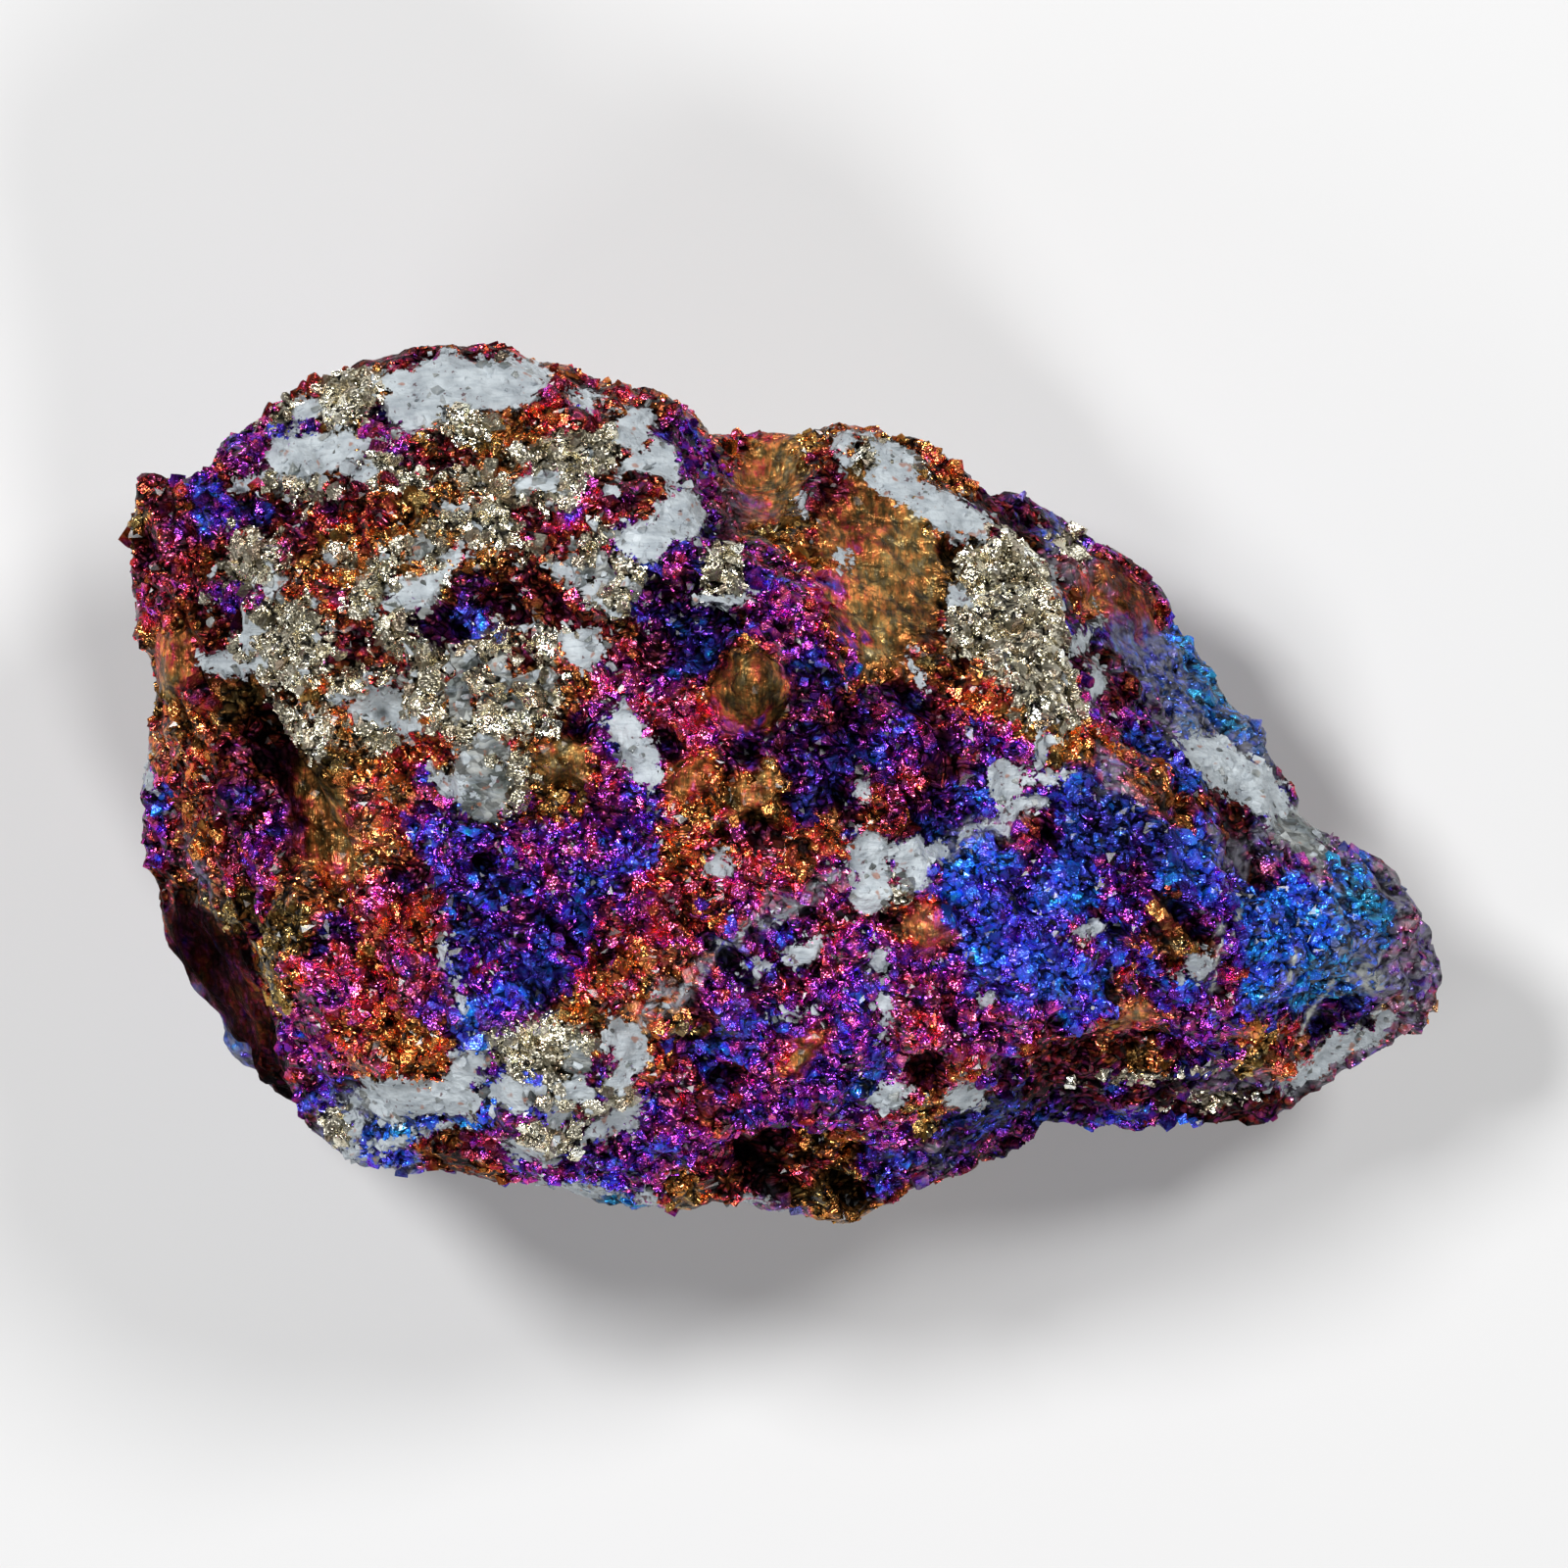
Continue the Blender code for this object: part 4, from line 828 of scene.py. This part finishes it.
def face_facts(mesh):
    """Middle, area and normal of each face, and its first point, for placing grains."""
    count = len(mesh.polygons)
    middle, normal = np.empty(count * 3, np.float32), np.empty(count * 3, np.float32)
    area, corner = np.empty(count, np.float32), np.empty(len(mesh.loops), np.int32)
    mesh.polygons.foreach_get("center", middle)
    mesh.polygons.foreach_get("normal", normal)
    mesh.polygons.foreach_get("area", area)
    mesh.loops.foreach_get("vertex_index", corner)
    return middle.reshape(-1, 3) / MM, normal.reshape(-1, 3), area.astype(float), corner[::3]


def scatter(name, facts, made_of, likely, count, sizes, cuts, sink, rng):
    """One mesh of many small angular grains, set part-way into the stone where they are likely."""
    middle, normal, area, first = facts
    chance = area * likely[first] * (middle[:, 2] > 1.2)
    picked = rng.choice(len(area), count, p=chance / chance.sum(), replace=False)
    size = sizes[0] + (sizes[1] - sizes[0]) * rng.random(count) ** 1.8
    stretch = size[:, None] * rng.uniform(0.65, 1.25, (count, 3))
    turns = random_turns(rng, count)
    centre = middle[picked] - normal[picked] * (size * sink)[:, None]
    shapes = grain_shapes(rng, 10, cuts)
    corners, sides, owner, used = [], [], [], 0
    for number, (shape, faces) in enumerate(shapes):
        mine = np.arange(number, count, len(shapes))
        placed = np.einsum("nij,nvj->nvi", turns[mine], shape[None] * stretch[mine][:, None])
        placed += centre[mine][:, None]
        corners.append(placed.reshape(-1, 3))
        step = used + len(shape) * np.arange(len(mine))
        sides.append((faces[None] + step[:, None, None]).reshape(-1, 3))
        owner.append(np.repeat(mine, len(shape)))
        used += len(shape) * len(mine)
    corners, sides, owner = np.concatenate(corners), np.concatenate(sides), np.concatenate(owner)
    mesh = bpy.data.meshes.new(name)
    mesh.from_pydata((corners * MM).tolist(), [], sides.tolist())
    tone, glint = rng.random(count), rng.random(count)
    give(mesh, {key: made_of[key][first[picked]][owner] for key in ("film", "shine", "dust")})
    give(mesh, {"tone": tone[owner], "glint": glint[owner]})
    return new_piece(name, mesh)


class Nodes:
    """Short ways to lay out a material or a shader group."""

    def __init__(self, tree):
        self.tree = tree

    def add(self, kind, **settings):
        node = self.tree.nodes.new(kind)
        for name, value in settings.items():
            setattr(node, name, value)
        return node

    def feed(self, socket, value):
        """A value or another node's output goes into a socket."""
        if isinstance(value, bpy.types.NodeSocket):
            self.tree.links.new(value, socket)
        elif isinstance(value, tuple) and socket.type == "RGBA":
            socket.default_value = (*value, 1.0)
        else:
            socket.default_value = value

    def maths(self, operation, first, second=0.0, clamp=False):
        node = self.add("ShaderNodeMath", operation=operation, use_clamp=clamp)
        self.feed(node.inputs[0], first)
        self.feed(node.inputs[1], second)
        return node.outputs[0]

    def vector_maths(self, operation, first, second):
        node = self.add("ShaderNodeVectorMath", operation=operation)
        self.feed(node.inputs[0], first)
        self.feed(node.inputs["Scale" if operation == "SCALE" else 1], second)
        return node.outputs["Value" if operation == "DOT_PRODUCT" else "Vector"]

    def mix(self, share, first, second, blend="MIX"):
        node = self.add("ShaderNodeMix", data_type="RGBA", blend_type=blend)
        sockets = [socket for socket in node.inputs if socket.enabled]
        for socket, value in zip(sockets, (share, first, second)):
            self.feed(socket, value)
        return next(socket for socket in node.outputs if socket.enabled)

    def blend(self, share, first, second):
        """A number part of the way from the first to the second."""
        node = self.add("ShaderNodeMix", data_type="FLOAT")
        sockets = [socket for socket in node.inputs if socket.enabled]
        for socket, value in zip(sockets, (share, first, second)):
            self.feed(socket, value)
        return next(socket for socket in node.outputs if socket.enabled)

    def between(self, value, low, high, first=0.0, last=1.0):
        """Runs smoothly from first to last as the value goes from low to high."""
        node = self.add("ShaderNodeMapRange", interpolation_type="SMOOTHSTEP")
        names = ("Value", "From Min", "From Max", "To Min", "To Max")
        for name, number in zip(names, (value, low, high, first, last)):
            self.feed(node.inputs[name], number)
        return node.outputs["Result"]

    def ramp(self, value, stops):
        node = self.add("ShaderNodeValToRGB")
        band = node.color_ramp
        while len(band.elements) < len(stops):
            band.elements.new(1.0)
        for element, (place, colour) in zip(band.elements, stops):
            element.position = place
            element.color = (*colour, 1.0)
        self.feed(node.inputs["Fac"], value)
        return node.outputs["Color"]

    def noise(self, place, size, detail=2.0, roughness=0.5, shift=0.0):
        """Noise about 0.5, with features this many millimetres across."""
        node = self.add("ShaderNodeTexNoise")
        self.feed(node.inputs["Vector"], self.vector_maths("ADD", place, (shift, 2.3 * shift, -1.7 * shift)))
        self.feed(node.inputs["Scale"], 1.0 / size)
        self.feed(node.inputs["Detail"], detail)
        self.feed(node.inputs["Roughness"], roughness)
        return node.outputs["Fac"]

    def cells(self, place, size):
        """Each point's grain: its middle, how far off that is, and three random numbers."""
        node = self.add("ShaderNodeTexVoronoi")
        self.feed(node.inputs["Vector"], place)
        self.feed(node.inputs["Scale"], 1.0 / size)
        return node.outputs["Position"], node.outputs["Distance"], node.outputs["Color"]

    def parts(self, colour):
        node = self.add("ShaderNodeSeparateColor")
        self.feed(node.inputs[0], colour)
        return list(node.outputs)

    def grey(self, light):
        node = self.add("ShaderNodeCombineColor")
        for socket in node.inputs:
            self.feed(socket, light)
        return node.outputs[0]

    def stored(self, name):
        return self.add("ShaderNodeAttribute", attribute_name=name).outputs["Fac"]

    def place_in_mm(self):
        """The point's own place on the stone, in millimetres."""
        here = self.add("ShaderNodeTexCoord").outputs["Object"]
        return self.vector_maths("SCALE", here, 1.0 / MM)

    def use(self, group, **values):
        """A shared group, with what goes into it by name, and its outputs by name."""
        node = self.add("ShaderNodeGroup", node_tree=group)
        for name, value in values.items():
            self.feed(node.inputs[name.replace("_", " ")], value)
        return node.outputs


NUMBER, COLOUR, VECTOR = "NodeSocketFloat", "NodeSocketColor", "NodeSocketVector"


def shader_group(name, inputs, outputs):
    """An empty shader group with these named inputs and outputs."""
    group = bpy.data.node_groups.new(name, "ShaderNodeTree")
    for label, kind in inputs:
        group.interface.new_socket(label, in_out="INPUT", socket_type=kind)
    for label, kind in outputs:
        group.interface.new_socket(label, in_out="OUTPUT", socket_type=kind)
    lay = Nodes(group)
    start, end = lay.add("NodeGroupInput"), lay.add("NodeGroupOutput")
    return group, lay, start.outputs, end.inputs


def ore_grains():
    """The closely packed grains that the ore is made of, each a small facet tilted its own way.

    Height is in millimetres. Gap is 1 in the gaps between grains, where the colours are darkened as painted shade. Tone
    and Glint are random for each grain.
    """
    group, lay, given, result = shader_group(
        "ore grains",
        (("Place", VECTOR), ("Coarse", NUMBER), ("Tilt", NUMBER)),
        (("Height", NUMBER), ("Gap", NUMBER), ("Tone", NUMBER), ("Glint", NUMBER)),
    )
    wander = lay.add("ShaderNodeTexNoise")
    lay.feed(wander.inputs["Vector"], given["Place"])
    lay.feed(wander.inputs["Scale"], 0.8)
    lay.feed(wander.inputs["Detail"], 1.0)
    drawn_out = lay.vector_maths("MULTIPLY", given["Place"], GRAIN_STRETCH)
    place = lay.vector_maths("ADD", drawn_out, lay.vector_maths("SCALE", wander.outputs["Color"], 1.3))
    height, steps = 0.0, (("Coarse", COARSE_GRAIN, 0.8), ("Tilt", FINE_GRAIN, 1.0))
    for name, size, share in steps:
        middle, far, chance = lay.cells(place, size)
        away = lay.vector_maths("SUBTRACT", place, middle)
        lean = lay.vector_maths("SUBTRACT", chance, (0.5, 0.5, 0.5))
        slope = lay.maths("MULTIPLY", lay.vector_maths("DOT_PRODUCT", away, lean), given[name])
        height = lay.maths("ADD", height, lay.maths("MULTIPLY", slope, share))
        rounded = lay.maths("MULTIPLY", lay.maths("MULTIPLY", far, far), 0.45 * size)
        height = lay.maths("SUBTRACT", height, lay.maths("MULTIPLY", rounded, given[name]))
    tone, glint = lay.parts(chance)[:2]
    lay.feed(result["Height"], height)
    lay.feed(result["Gap"], lay.between(far, 0.42, 0.72))
    lay.feed(result["Tone"], tone)
    lay.feed(result["Glint"], glint)
    return group


def tarnish_film():
    """Colour of the tarnish from how thick its film is. Grains next to each other differ a little. The colour also
    carries painted glints on the grains, painted shade in the gaps between them and, through Shine, painted shade in
    the hollows.
    """
    group, lay, given, result = shader_group(
        "tarnish film",
        (
            ("Place", VECTOR), ("Film", NUMBER), ("Shine", NUMBER), ("Dust", NUMBER),
            ("Tone", NUMBER), ("Glint", NUMBER), ("Gap", NUMBER), ("Smooth", NUMBER),
        ),
        (("Colour", COLOUR), ("Roughness", NUMBER), ("Metallic", NUMBER), ("Height", NUMBER)),
    )
    place = given["Place"]
    film = given["Film"]
    steady = lay.maths("MULTIPLY", lay.between(film, 0.1, 0.3, 0.4, 1.0), lay.between(film, 0.74, 0.86, 1.0, 0.5))
    for number, (size, amount) in enumerate(FILM_WANDER):
        wander = lay.maths("SUBTRACT", lay.noise(place, size, 2.0, 0.6, 4.0 + 5 * number), 0.5)
        film = lay.maths("ADD", film, lay.maths("MULTIPLY", lay.maths("MULTIPLY", wander, amount), steady))
    own = lay.maths("MULTIPLY", lay.maths("SUBTRACT", given["Tone"], 0.5), FILM_BY_GRAIN)
    own = lay.maths("MULTIPLY", own, steady)
    drawn_down = lay.vector_maths("MULTIPLY", place, (1.6, 0.5, 0.5))
    streaks = lay.maths("SUBTRACT", lay.noise(drawn_down, 0.5, 2.0, 0.7, 71.0), 0.5)
    lay.feed(result["Height"], lay.maths("MULTIPLY", lay.maths("MULTIPLY", streaks, given["Smooth"]), 0.16))
    own = lay.blend(given["Smooth"], own, lay.maths("MULTIPLY", streaks, 0.6))
    film = lay.maths("ADD", film, own, clamp=True)
    patchy = lay.between(lay.noise(place, 0.9, 1.0, 0.65, 15.0), 0.33, 0.64, 0.45, 1.3)
    light = lay.maths("MULTIPLY", given["Shine"], patchy)
    # Painted glints and painted shade: each grain lighter or darker at random, and the gaps between grains dark
    glints_and_gap_shade = lay.between(given["Glint"], 0.0, 1.0, *GRAIN_TONE_AND_PAINTED_GLINT)
    glints_and_gap_shade = lay.maths("MULTIPLY", glints_and_gap_shade, lay.between(given["Gap"], 0.0, 1.0, 1.0, GAP_PAINTED_SHADE))
    lined = lay.between(streaks, -0.18, 0.12, 0.35, 0.95)
    lined = lay.maths("MULTIPLY", lined, lay.between(glints_and_gap_shade, 0.0, 1.2, 0.55, 1.1))
    light = lay.maths("MULTIPLY", light, lay.blend(given["Smooth"], glints_and_gap_shade, lined))
    light = lay.maths("MINIMUM", light, 1.2)
    hue = lay.mix(1.0, lay.ramp(film, FILM_COLOURS), lay.grey(light), "MULTIPLY")
    dusty = lay.between(lay.noise(place, 0.5, 1.0, 0.65, 22.0), 0.35, 0.6, 0.3, 1.5)
    dusty = lay.maths("MULTIPLY", given["Dust"], dusty, clamp=True)
    chalky = lay.mix(lay.between(given["Dust"], 0.6, 0.85), DUST_COLOUR, CHALK_COLOUR)
    lay.feed(result["Colour"], lay.mix(dusty, hue, chalky))
    rough = lay.between(given["Glint"], 0.0, 1.0, *ORE_ROUGHNESS)
    rough = lay.maths("ADD", rough, lay.between(given["Shine"], 0.1, 0.6, 0.35, 0.0))
    rough = lay.maths("ADD", rough, lay.maths("MULTIPLY", given["Smooth"], 0.14))
    lay.feed(result["Roughness"], lay.maths("ADD", rough, lay.maths("MULTIPLY", dusty, 0.35)))
    metal = lay.between(film, 0.74, 0.84, ORE_METAL, BLUE_METAL)
    metal = lay.maths("MULTIPLY", metal, lay.maths("SUBTRACT", 1.0, dusty))
    even = lay.maths("MULTIPLY", given["Smooth"], lay.between(given["Shine"], 0.1, 0.8))
    metal = lay.maths("MULTIPLY", metal, lay.between(even, 0.0, 1.0, 1.0, 0.65))
    lay.feed(result["Metallic"], metal)
    return group


def quartz_look():
    """Milky or grey quartz: cloudy, faintly streaked, with dark and rusty specks. Height is in millimetres."""
    group, lay, given, result = shader_group(
        "quartz look",
        (("Place", VECTOR), ("Grey", NUMBER), ("Glint", NUMBER)),
        (("Colour", COLOUR), ("Roughness", NUMBER), ("Height", NUMBER)),
    )
    place = given["Place"]
    clouds = lay.noise(place, 1.5, 2.0, 0.65, 2.0)
    cloudy = lay.between(clouds, 0.35, 0.63)
    white = lay.mix(cloudy, (0.38, 0.42, 0.45), (0.52, 0.57, 0.60))
    grey = lay.mix(cloudy, (0.10, 0.115, 0.11), (0.27, 0.28, 0.27))
    # Grey quartz grains lighter or darker at random, partly as painted glints
    grey = lay.mix(1.0, grey, lay.grey(lay.between(given["Glint"], 0.0, 1.0, 0.4, 1.5)), "MULTIPLY")
    colour = lay.mix(given["Grey"], white, grey)
    streaks = lay.noise(lay.vector_maths("MULTIPLY", place, (0.35, 1.6, 0.9)), 0.5, 2.0, 0.65, 6.0)
    colour = lay.mix(lay.between(streaks, 0.47, 0.66, 0.0, 0.45), colour, (0.25, 0.29, 0.33))
    specks = lay.maths("ADD", lay.noise(place, 0.4, 2.0, 0.7, 11.0), lay.maths("MULTIPLY", clouds, -0.45))
    specks = lay.between(specks, 0.43, 0.5, 0.0, 0.85)
    colour = lay.mix(specks, colour, (0.09, 0.04, 0.045))
    rusty = lay.between(lay.noise(place, 0.65, 1.0, 0.65, 31.0), 0.66, 0.74, 0.0, 0.7)
    colour = lay.mix(rusty, colour, (0.34, 0.13, 0.07))
    lay.feed(result["Colour"], colour)
    lay.feed(result["Roughness"], lay.blend(given["Grey"], 0.55, 0.3))
    fractured = lay.noise(place, 0.45, 2.0, 0.65, 13.0)
    height = lay.maths("ADD", lay.maths("MULTIPLY", fractured, 0.15), lay.maths("MULTIPLY", streaks, 0.1))
    lay.feed(result["Height"], height)
    return group


def fresh_brass():
    """Unweathered ore, pale brass, with an olive cast where it starts to dull. Each grain is lighter or darker at
    random as painted glints, and the gaps between grains take painted shade.
    """
    group, lay, given, result = shader_group(
        "fresh brass",
        (("Place", VECTOR), ("Tone", NUMBER), ("Glint", NUMBER), ("Gap", NUMBER)),
        (("Colour", COLOUR), ("Roughness", NUMBER)),
    )
    dull = lay.between(lay.noise(given["Place"], 1.0, 2.0, 0.65, 41.0), 0.38, 0.62)
    colour = lay.mix(dull, (0.98, 0.92, 0.74), (0.56, 0.51, 0.37))
    colour = lay.mix(lay.between(given["Tone"], 0.7, 1.0, 0.0, 0.6), colour, (0.46, 0.30, 0.20))
    # Painted glints on the grains and painted shade in the gaps between them
    light = lay.between(given["Glint"], 0.0, 1.0, 0.4, 1.3)
    light = lay.maths("MULTIPLY", light, lay.between(given["Gap"], 0.0, 1.0, 1.0, GAP_PAINTED_SHADE))
    lay.feed(result["Colour"], lay.mix(1.0, colour, lay.grey(light), "MULTIPLY"))
    lay.feed(result["Roughness"], lay.between(given["Glint"], 0.0, 1.0, 0.36, 0.16))
    return group


def new_material(name):
    material = bpy.data.materials.new(name)
    material.use_nodes = True
    lay = Nodes(material.node_tree)
    return material, lay, material.node_tree.nodes["Principled BSDF"].inputs


def relief(lay, height):
    """A surface normal from a height in millimetres."""
    bump = lay.add("ShaderNodeBump")
    lay.feed(bump.inputs["Distance"], MM)
    lay.feed(bump.inputs["Height"], height)
    return bump.outputs["Normal"]


def stone_material(shared):
    """The whole broken stone. Each mineral shows where its stored depth is above nought."""
    material, lay, surface = new_material("stone")
    place = lay.place_in_mm()
    dulled = lay.maths("SUBTRACT", 1.0, lay.maths("MULTIPLY", lay.stored("dust"), 1.1), clamp=True)
    rugged = lay.maths("MULTIPLY", dulled, lay.between(lay.stored("smooth"), 0.0, 1.0, 1.0, 0.4))
    coarse, fine = lay.maths("MULTIPLY", rugged, COARSE_TILT), lay.maths("MULTIPLY", rugged, FINE_TILT)
    grains = lay.use(shared["grains"], Place=place, Coarse=coarse, Tilt=fine)
    by_grain = {name: grains[name] for name in ("Tone", "Glint", "Gap")}
    ragged = lay.maths("SUBTRACT", lay.noise(place, 0.7, 3.0, 0.75, 51.0), 0.5)
    ragged = lay.maths("MULTIPLY", ragged, RAGGED_EDGE)
    shows = {}
    for name in ("white", "grey", "brass"):
        shows[name] = lay.between(lay.maths("ADD", lay.stored(name), ragged), -0.04, 0.08)
    film = lay.use(
        shared["film"], Place=place, Film=lay.stored("film"), Shine=lay.stored("shine"), Dust=lay.stored("dust"),
        Smooth=lay.stored("smooth"), **by_grain,
    )
    brass = lay.use(shared["brass"], Place=place, **by_grain)
    quartz = lay.maths("MAXIMUM", shows["white"], shows["grey"])
    greyed = lay.maths("SUBTRACT", 1.0, shows["white"])
    milky = lay.use(shared["quartz"], Place=place, Grey=greyed, Glint=grains["Glint"])
    colour = lay.mix(shows["brass"], film["Colour"], brass["Colour"])
    colour = lay.mix(quartz, colour, milky["Colour"])
    rough = lay.blend(shows["brass"], film["Roughness"], brass["Roughness"])
    metallic = lay.blend(shows["brass"], film["Metallic"], 1.0)
    lay.feed(surface["Base Color"], colour)
    lay.feed(surface["Roughness"], lay.blend(quartz, rough, milky["Roughness"]))
    lay.feed(surface["Metallic"], lay.blend(quartz, metallic, 0.0))
    glazed = lay.maths("MULTIPLY", lay.maths("MULTIPLY", lay.stored("shine"), rugged), ORE_COAT, clamp=True)
    lay.feed(surface["Coat Weight"], lay.blend(quartz, glazed, 0.1))
    surface["Coat Roughness"].default_value = 0.16
    surface["Specular Tint"].default_value = EDGE_TINT
    half_grey = lay.maths("MULTIPLY", lay.between(lay.stored("grey"), -0.1, 0.1), 0.4)
    smooth = lay.maths("MAXIMUM", lay.between(lay.stored("white"), -0.1, 0.1), half_grey)
    worn = lay.maths("ADD", grains["Height"], film["Height"])
    lay.feed(surface["Normal"], relief(lay, lay.blend(smooth, worn, milky["Height"])))
    return material


def chip_material(shared):
    """Loose-looking chips of tarnished ore, coloured like the ore that they stand on."""
    material, lay, surface = new_material("tarnished_chip")
    place = lay.place_in_mm()
    film = lay.use(
        shared["film"], Place=place, Film=lay.stored("film"), Shine=lay.stored("shine"), Dust=lay.stored("dust"),
        Tone=lay.stored("tone"), Glint=lay.stored("glint"), Gap=0.0, Smooth=0.0,
    )
    lay.feed(surface["Base Color"], film["Colour"])
    lay.feed(surface["Roughness"], film["Roughness"])
    lay.feed(surface["Metallic"], film["Metallic"])
    surface["Specular Tint"].default_value = EDGE_TINT
    lay.feed(surface["Normal"], relief(lay, lay.maths("MULTIPLY", lay.noise(place, 0.16, 1.0, 0.5, 81.0), 0.09)))
    return material


def brass_material(shared):
    """Grains of fresh ore that stand out of the stone."""
    material, lay, surface = new_material("brass_grain")
    place = lay.place_in_mm()
    brass = lay.use(shared["brass"], Place=place, Tone=lay.stored("tone"), Glint=lay.stored("glint"), Gap=0.0)
    lay.feed(surface["Base Color"], brass["Colour"])
    lay.feed(surface["Roughness"], brass["Roughness"])
    lay.feed(surface["Metallic"], 1.0)
    lay.feed(surface["Normal"], relief(lay, lay.maths("MULTIPLY", lay.noise(place, 0.16, 1.0, 0.5, 83.0), 0.09)))
    return material


def crumb_material(shared):
    """Crumbs of broken quartz."""
    material, lay, surface = new_material("quartz_crumb")
    place = lay.place_in_mm()
    greyed = lay.between(lay.stored("tone"), 0.55, 0.75)
    milky = lay.use(shared["quartz"], Place=place, Grey=greyed, Glint=lay.stored("glint"))
    lay.feed(surface["Base Color"], milky["Colour"])
    lay.feed(surface["Roughness"], milky["Roughness"])
    lay.feed(surface["Normal"], relief(lay, milky["Height"]))
    return material


def plain_material(name, colour, roughness):
    material, _, surface = new_material(name)
    surface["Base Color"].default_value = (*colour, 1.0)
    surface["Roughness"].default_value = roughness
    return material


def studio():
    """A pale floor, soft lights all round and a camera that looks straight down on the stone."""
    shape = bmesh.new()
    bmesh.ops.create_grid(shape, x_segments=1, y_segments=1, size=FLOOR_HALF)
    mesh = bpy.data.meshes.new("floor")
    shape.to_mesh(mesh)
    shape.free()
    floor = new_piece("floor", mesh)
    mesh.materials.append(plain_material("pale_floor", FLOOR_COLOUR, 0.9))
    world = bpy.data.worlds.new("studio")
    world.use_nodes = True
    world.node_tree.nodes["Background"].inputs["Color"].default_value = (*WORLD_COLOUR, 1.0)
    world.node_tree.nodes["Background"].inputs["Strength"].default_value = WORLD_STRENGTH
    bpy.context.scene.world = world
    middle = Vector((0.0, 0.0, 0.013))
    for name, (round_turn, climb, away, size, power) in LIGHTS.items():
        lamp = bpy.data.lights.new(name, "AREA")
        lamp.shape = "DISK"
        lamp.size, lamp.energy = size, power
        light = bpy.data.objects.new(name, lamp)
        bpy.context.scene.collection.objects.link(light)
        turn, up = math.radians(round_turn), math.radians(climb)
        way = Vector((math.cos(turn) * math.cos(up), math.sin(turn) * math.cos(up), math.sin(up)))
        light.location = middle + way * away
        light.rotation_euler = (-way).to_track_quat("-Z", "Y").to_euler()
    lens = bpy.data.cameras.new("camera")
    lens.lens = LENS
    lens.dof.use_dof = False
    camera = bpy.data.objects.new("camera", lens)
    camera.location = (0.0, 0.0, CAMERA_HEIGHT)
    bpy.context.scene.collection.objects.link(camera)
    bpy.context.scene.camera = camera
    bpy.context.scene.view_settings.view_transform = "Standard"


def finished(piece, material, replaces=False):
    piece.data.materials.append(material)
    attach(piece, BODY)
    if replaces:
        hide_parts(NODE)


def build():
    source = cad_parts[NODE].data
    corners = [Vector(point) for point in points_of(source)]
    tree = bvhtree.BVHTree.FromPolygons(corners, [tuple(face.vertices) for face in source.polygons])
    rng = np.random.default_rng(SEED + 1)
    places = Places(tree, rng)
    body, deep = rough_body(places)
    made_of = minerals(points_of(body.data), places)
    # Painted shade: the colour of each point darkens as its hollow deepens, the blue ones half as much
    blue = smooth_step((made_of["film"] - 0.76) / 0.08)
    made_of["shine"] *= 1.0 - HOLLOW_SHADE * (1.0 - 0.5 * blue) * smooth_step(deep / HOLLOW_DEPTH)
    give(body.data, made_of)
    facts = face_facts(body.data)
    quartz = np.maximum(made_of["white"], made_of["grey"])
    ore = (quartz < -0.1) & (made_of["brass"] < 0.0)
    rugged = 1.0 - 0.97 * made_of["smooth"]
    upward = 0.12 + 0.88 * smooth_step(normals_of(body.data)[:, 2])
    likely = {
        "brass_grains": smooth_step(0.5 + made_of["brass"] / 0.8) * (quartz < 0.1),
        "tarnished_chips": ore * upward * rugged * smooth_step(made_of["shine"]) * (1.0 - made_of["dust"]) ** 2,
        "quartz_crumbs": smooth_step(0.7 + quartz / 0.6) * (quartz > -0.4),
    }
    shared = {"grains": ore_grains(), "film": tarnish_film(), "quartz": quartz_look(), "brass": fresh_brass()}
    materials = {
        "brass_grains": brass_material(shared),
        "tarnished_chips": chip_material(shared),
        "quartz_crumbs": crumb_material(shared),
    }
    finished(body, stone_material(shared), replaces=True)
    for name, (count, sizes, cuts, sink) in SCATTERED.items():
        grains = scatter(name, facts, made_of, likely[name], count, sizes, cuts, sink, rng)
        finished(grains, materials[name])
    studio()


build()
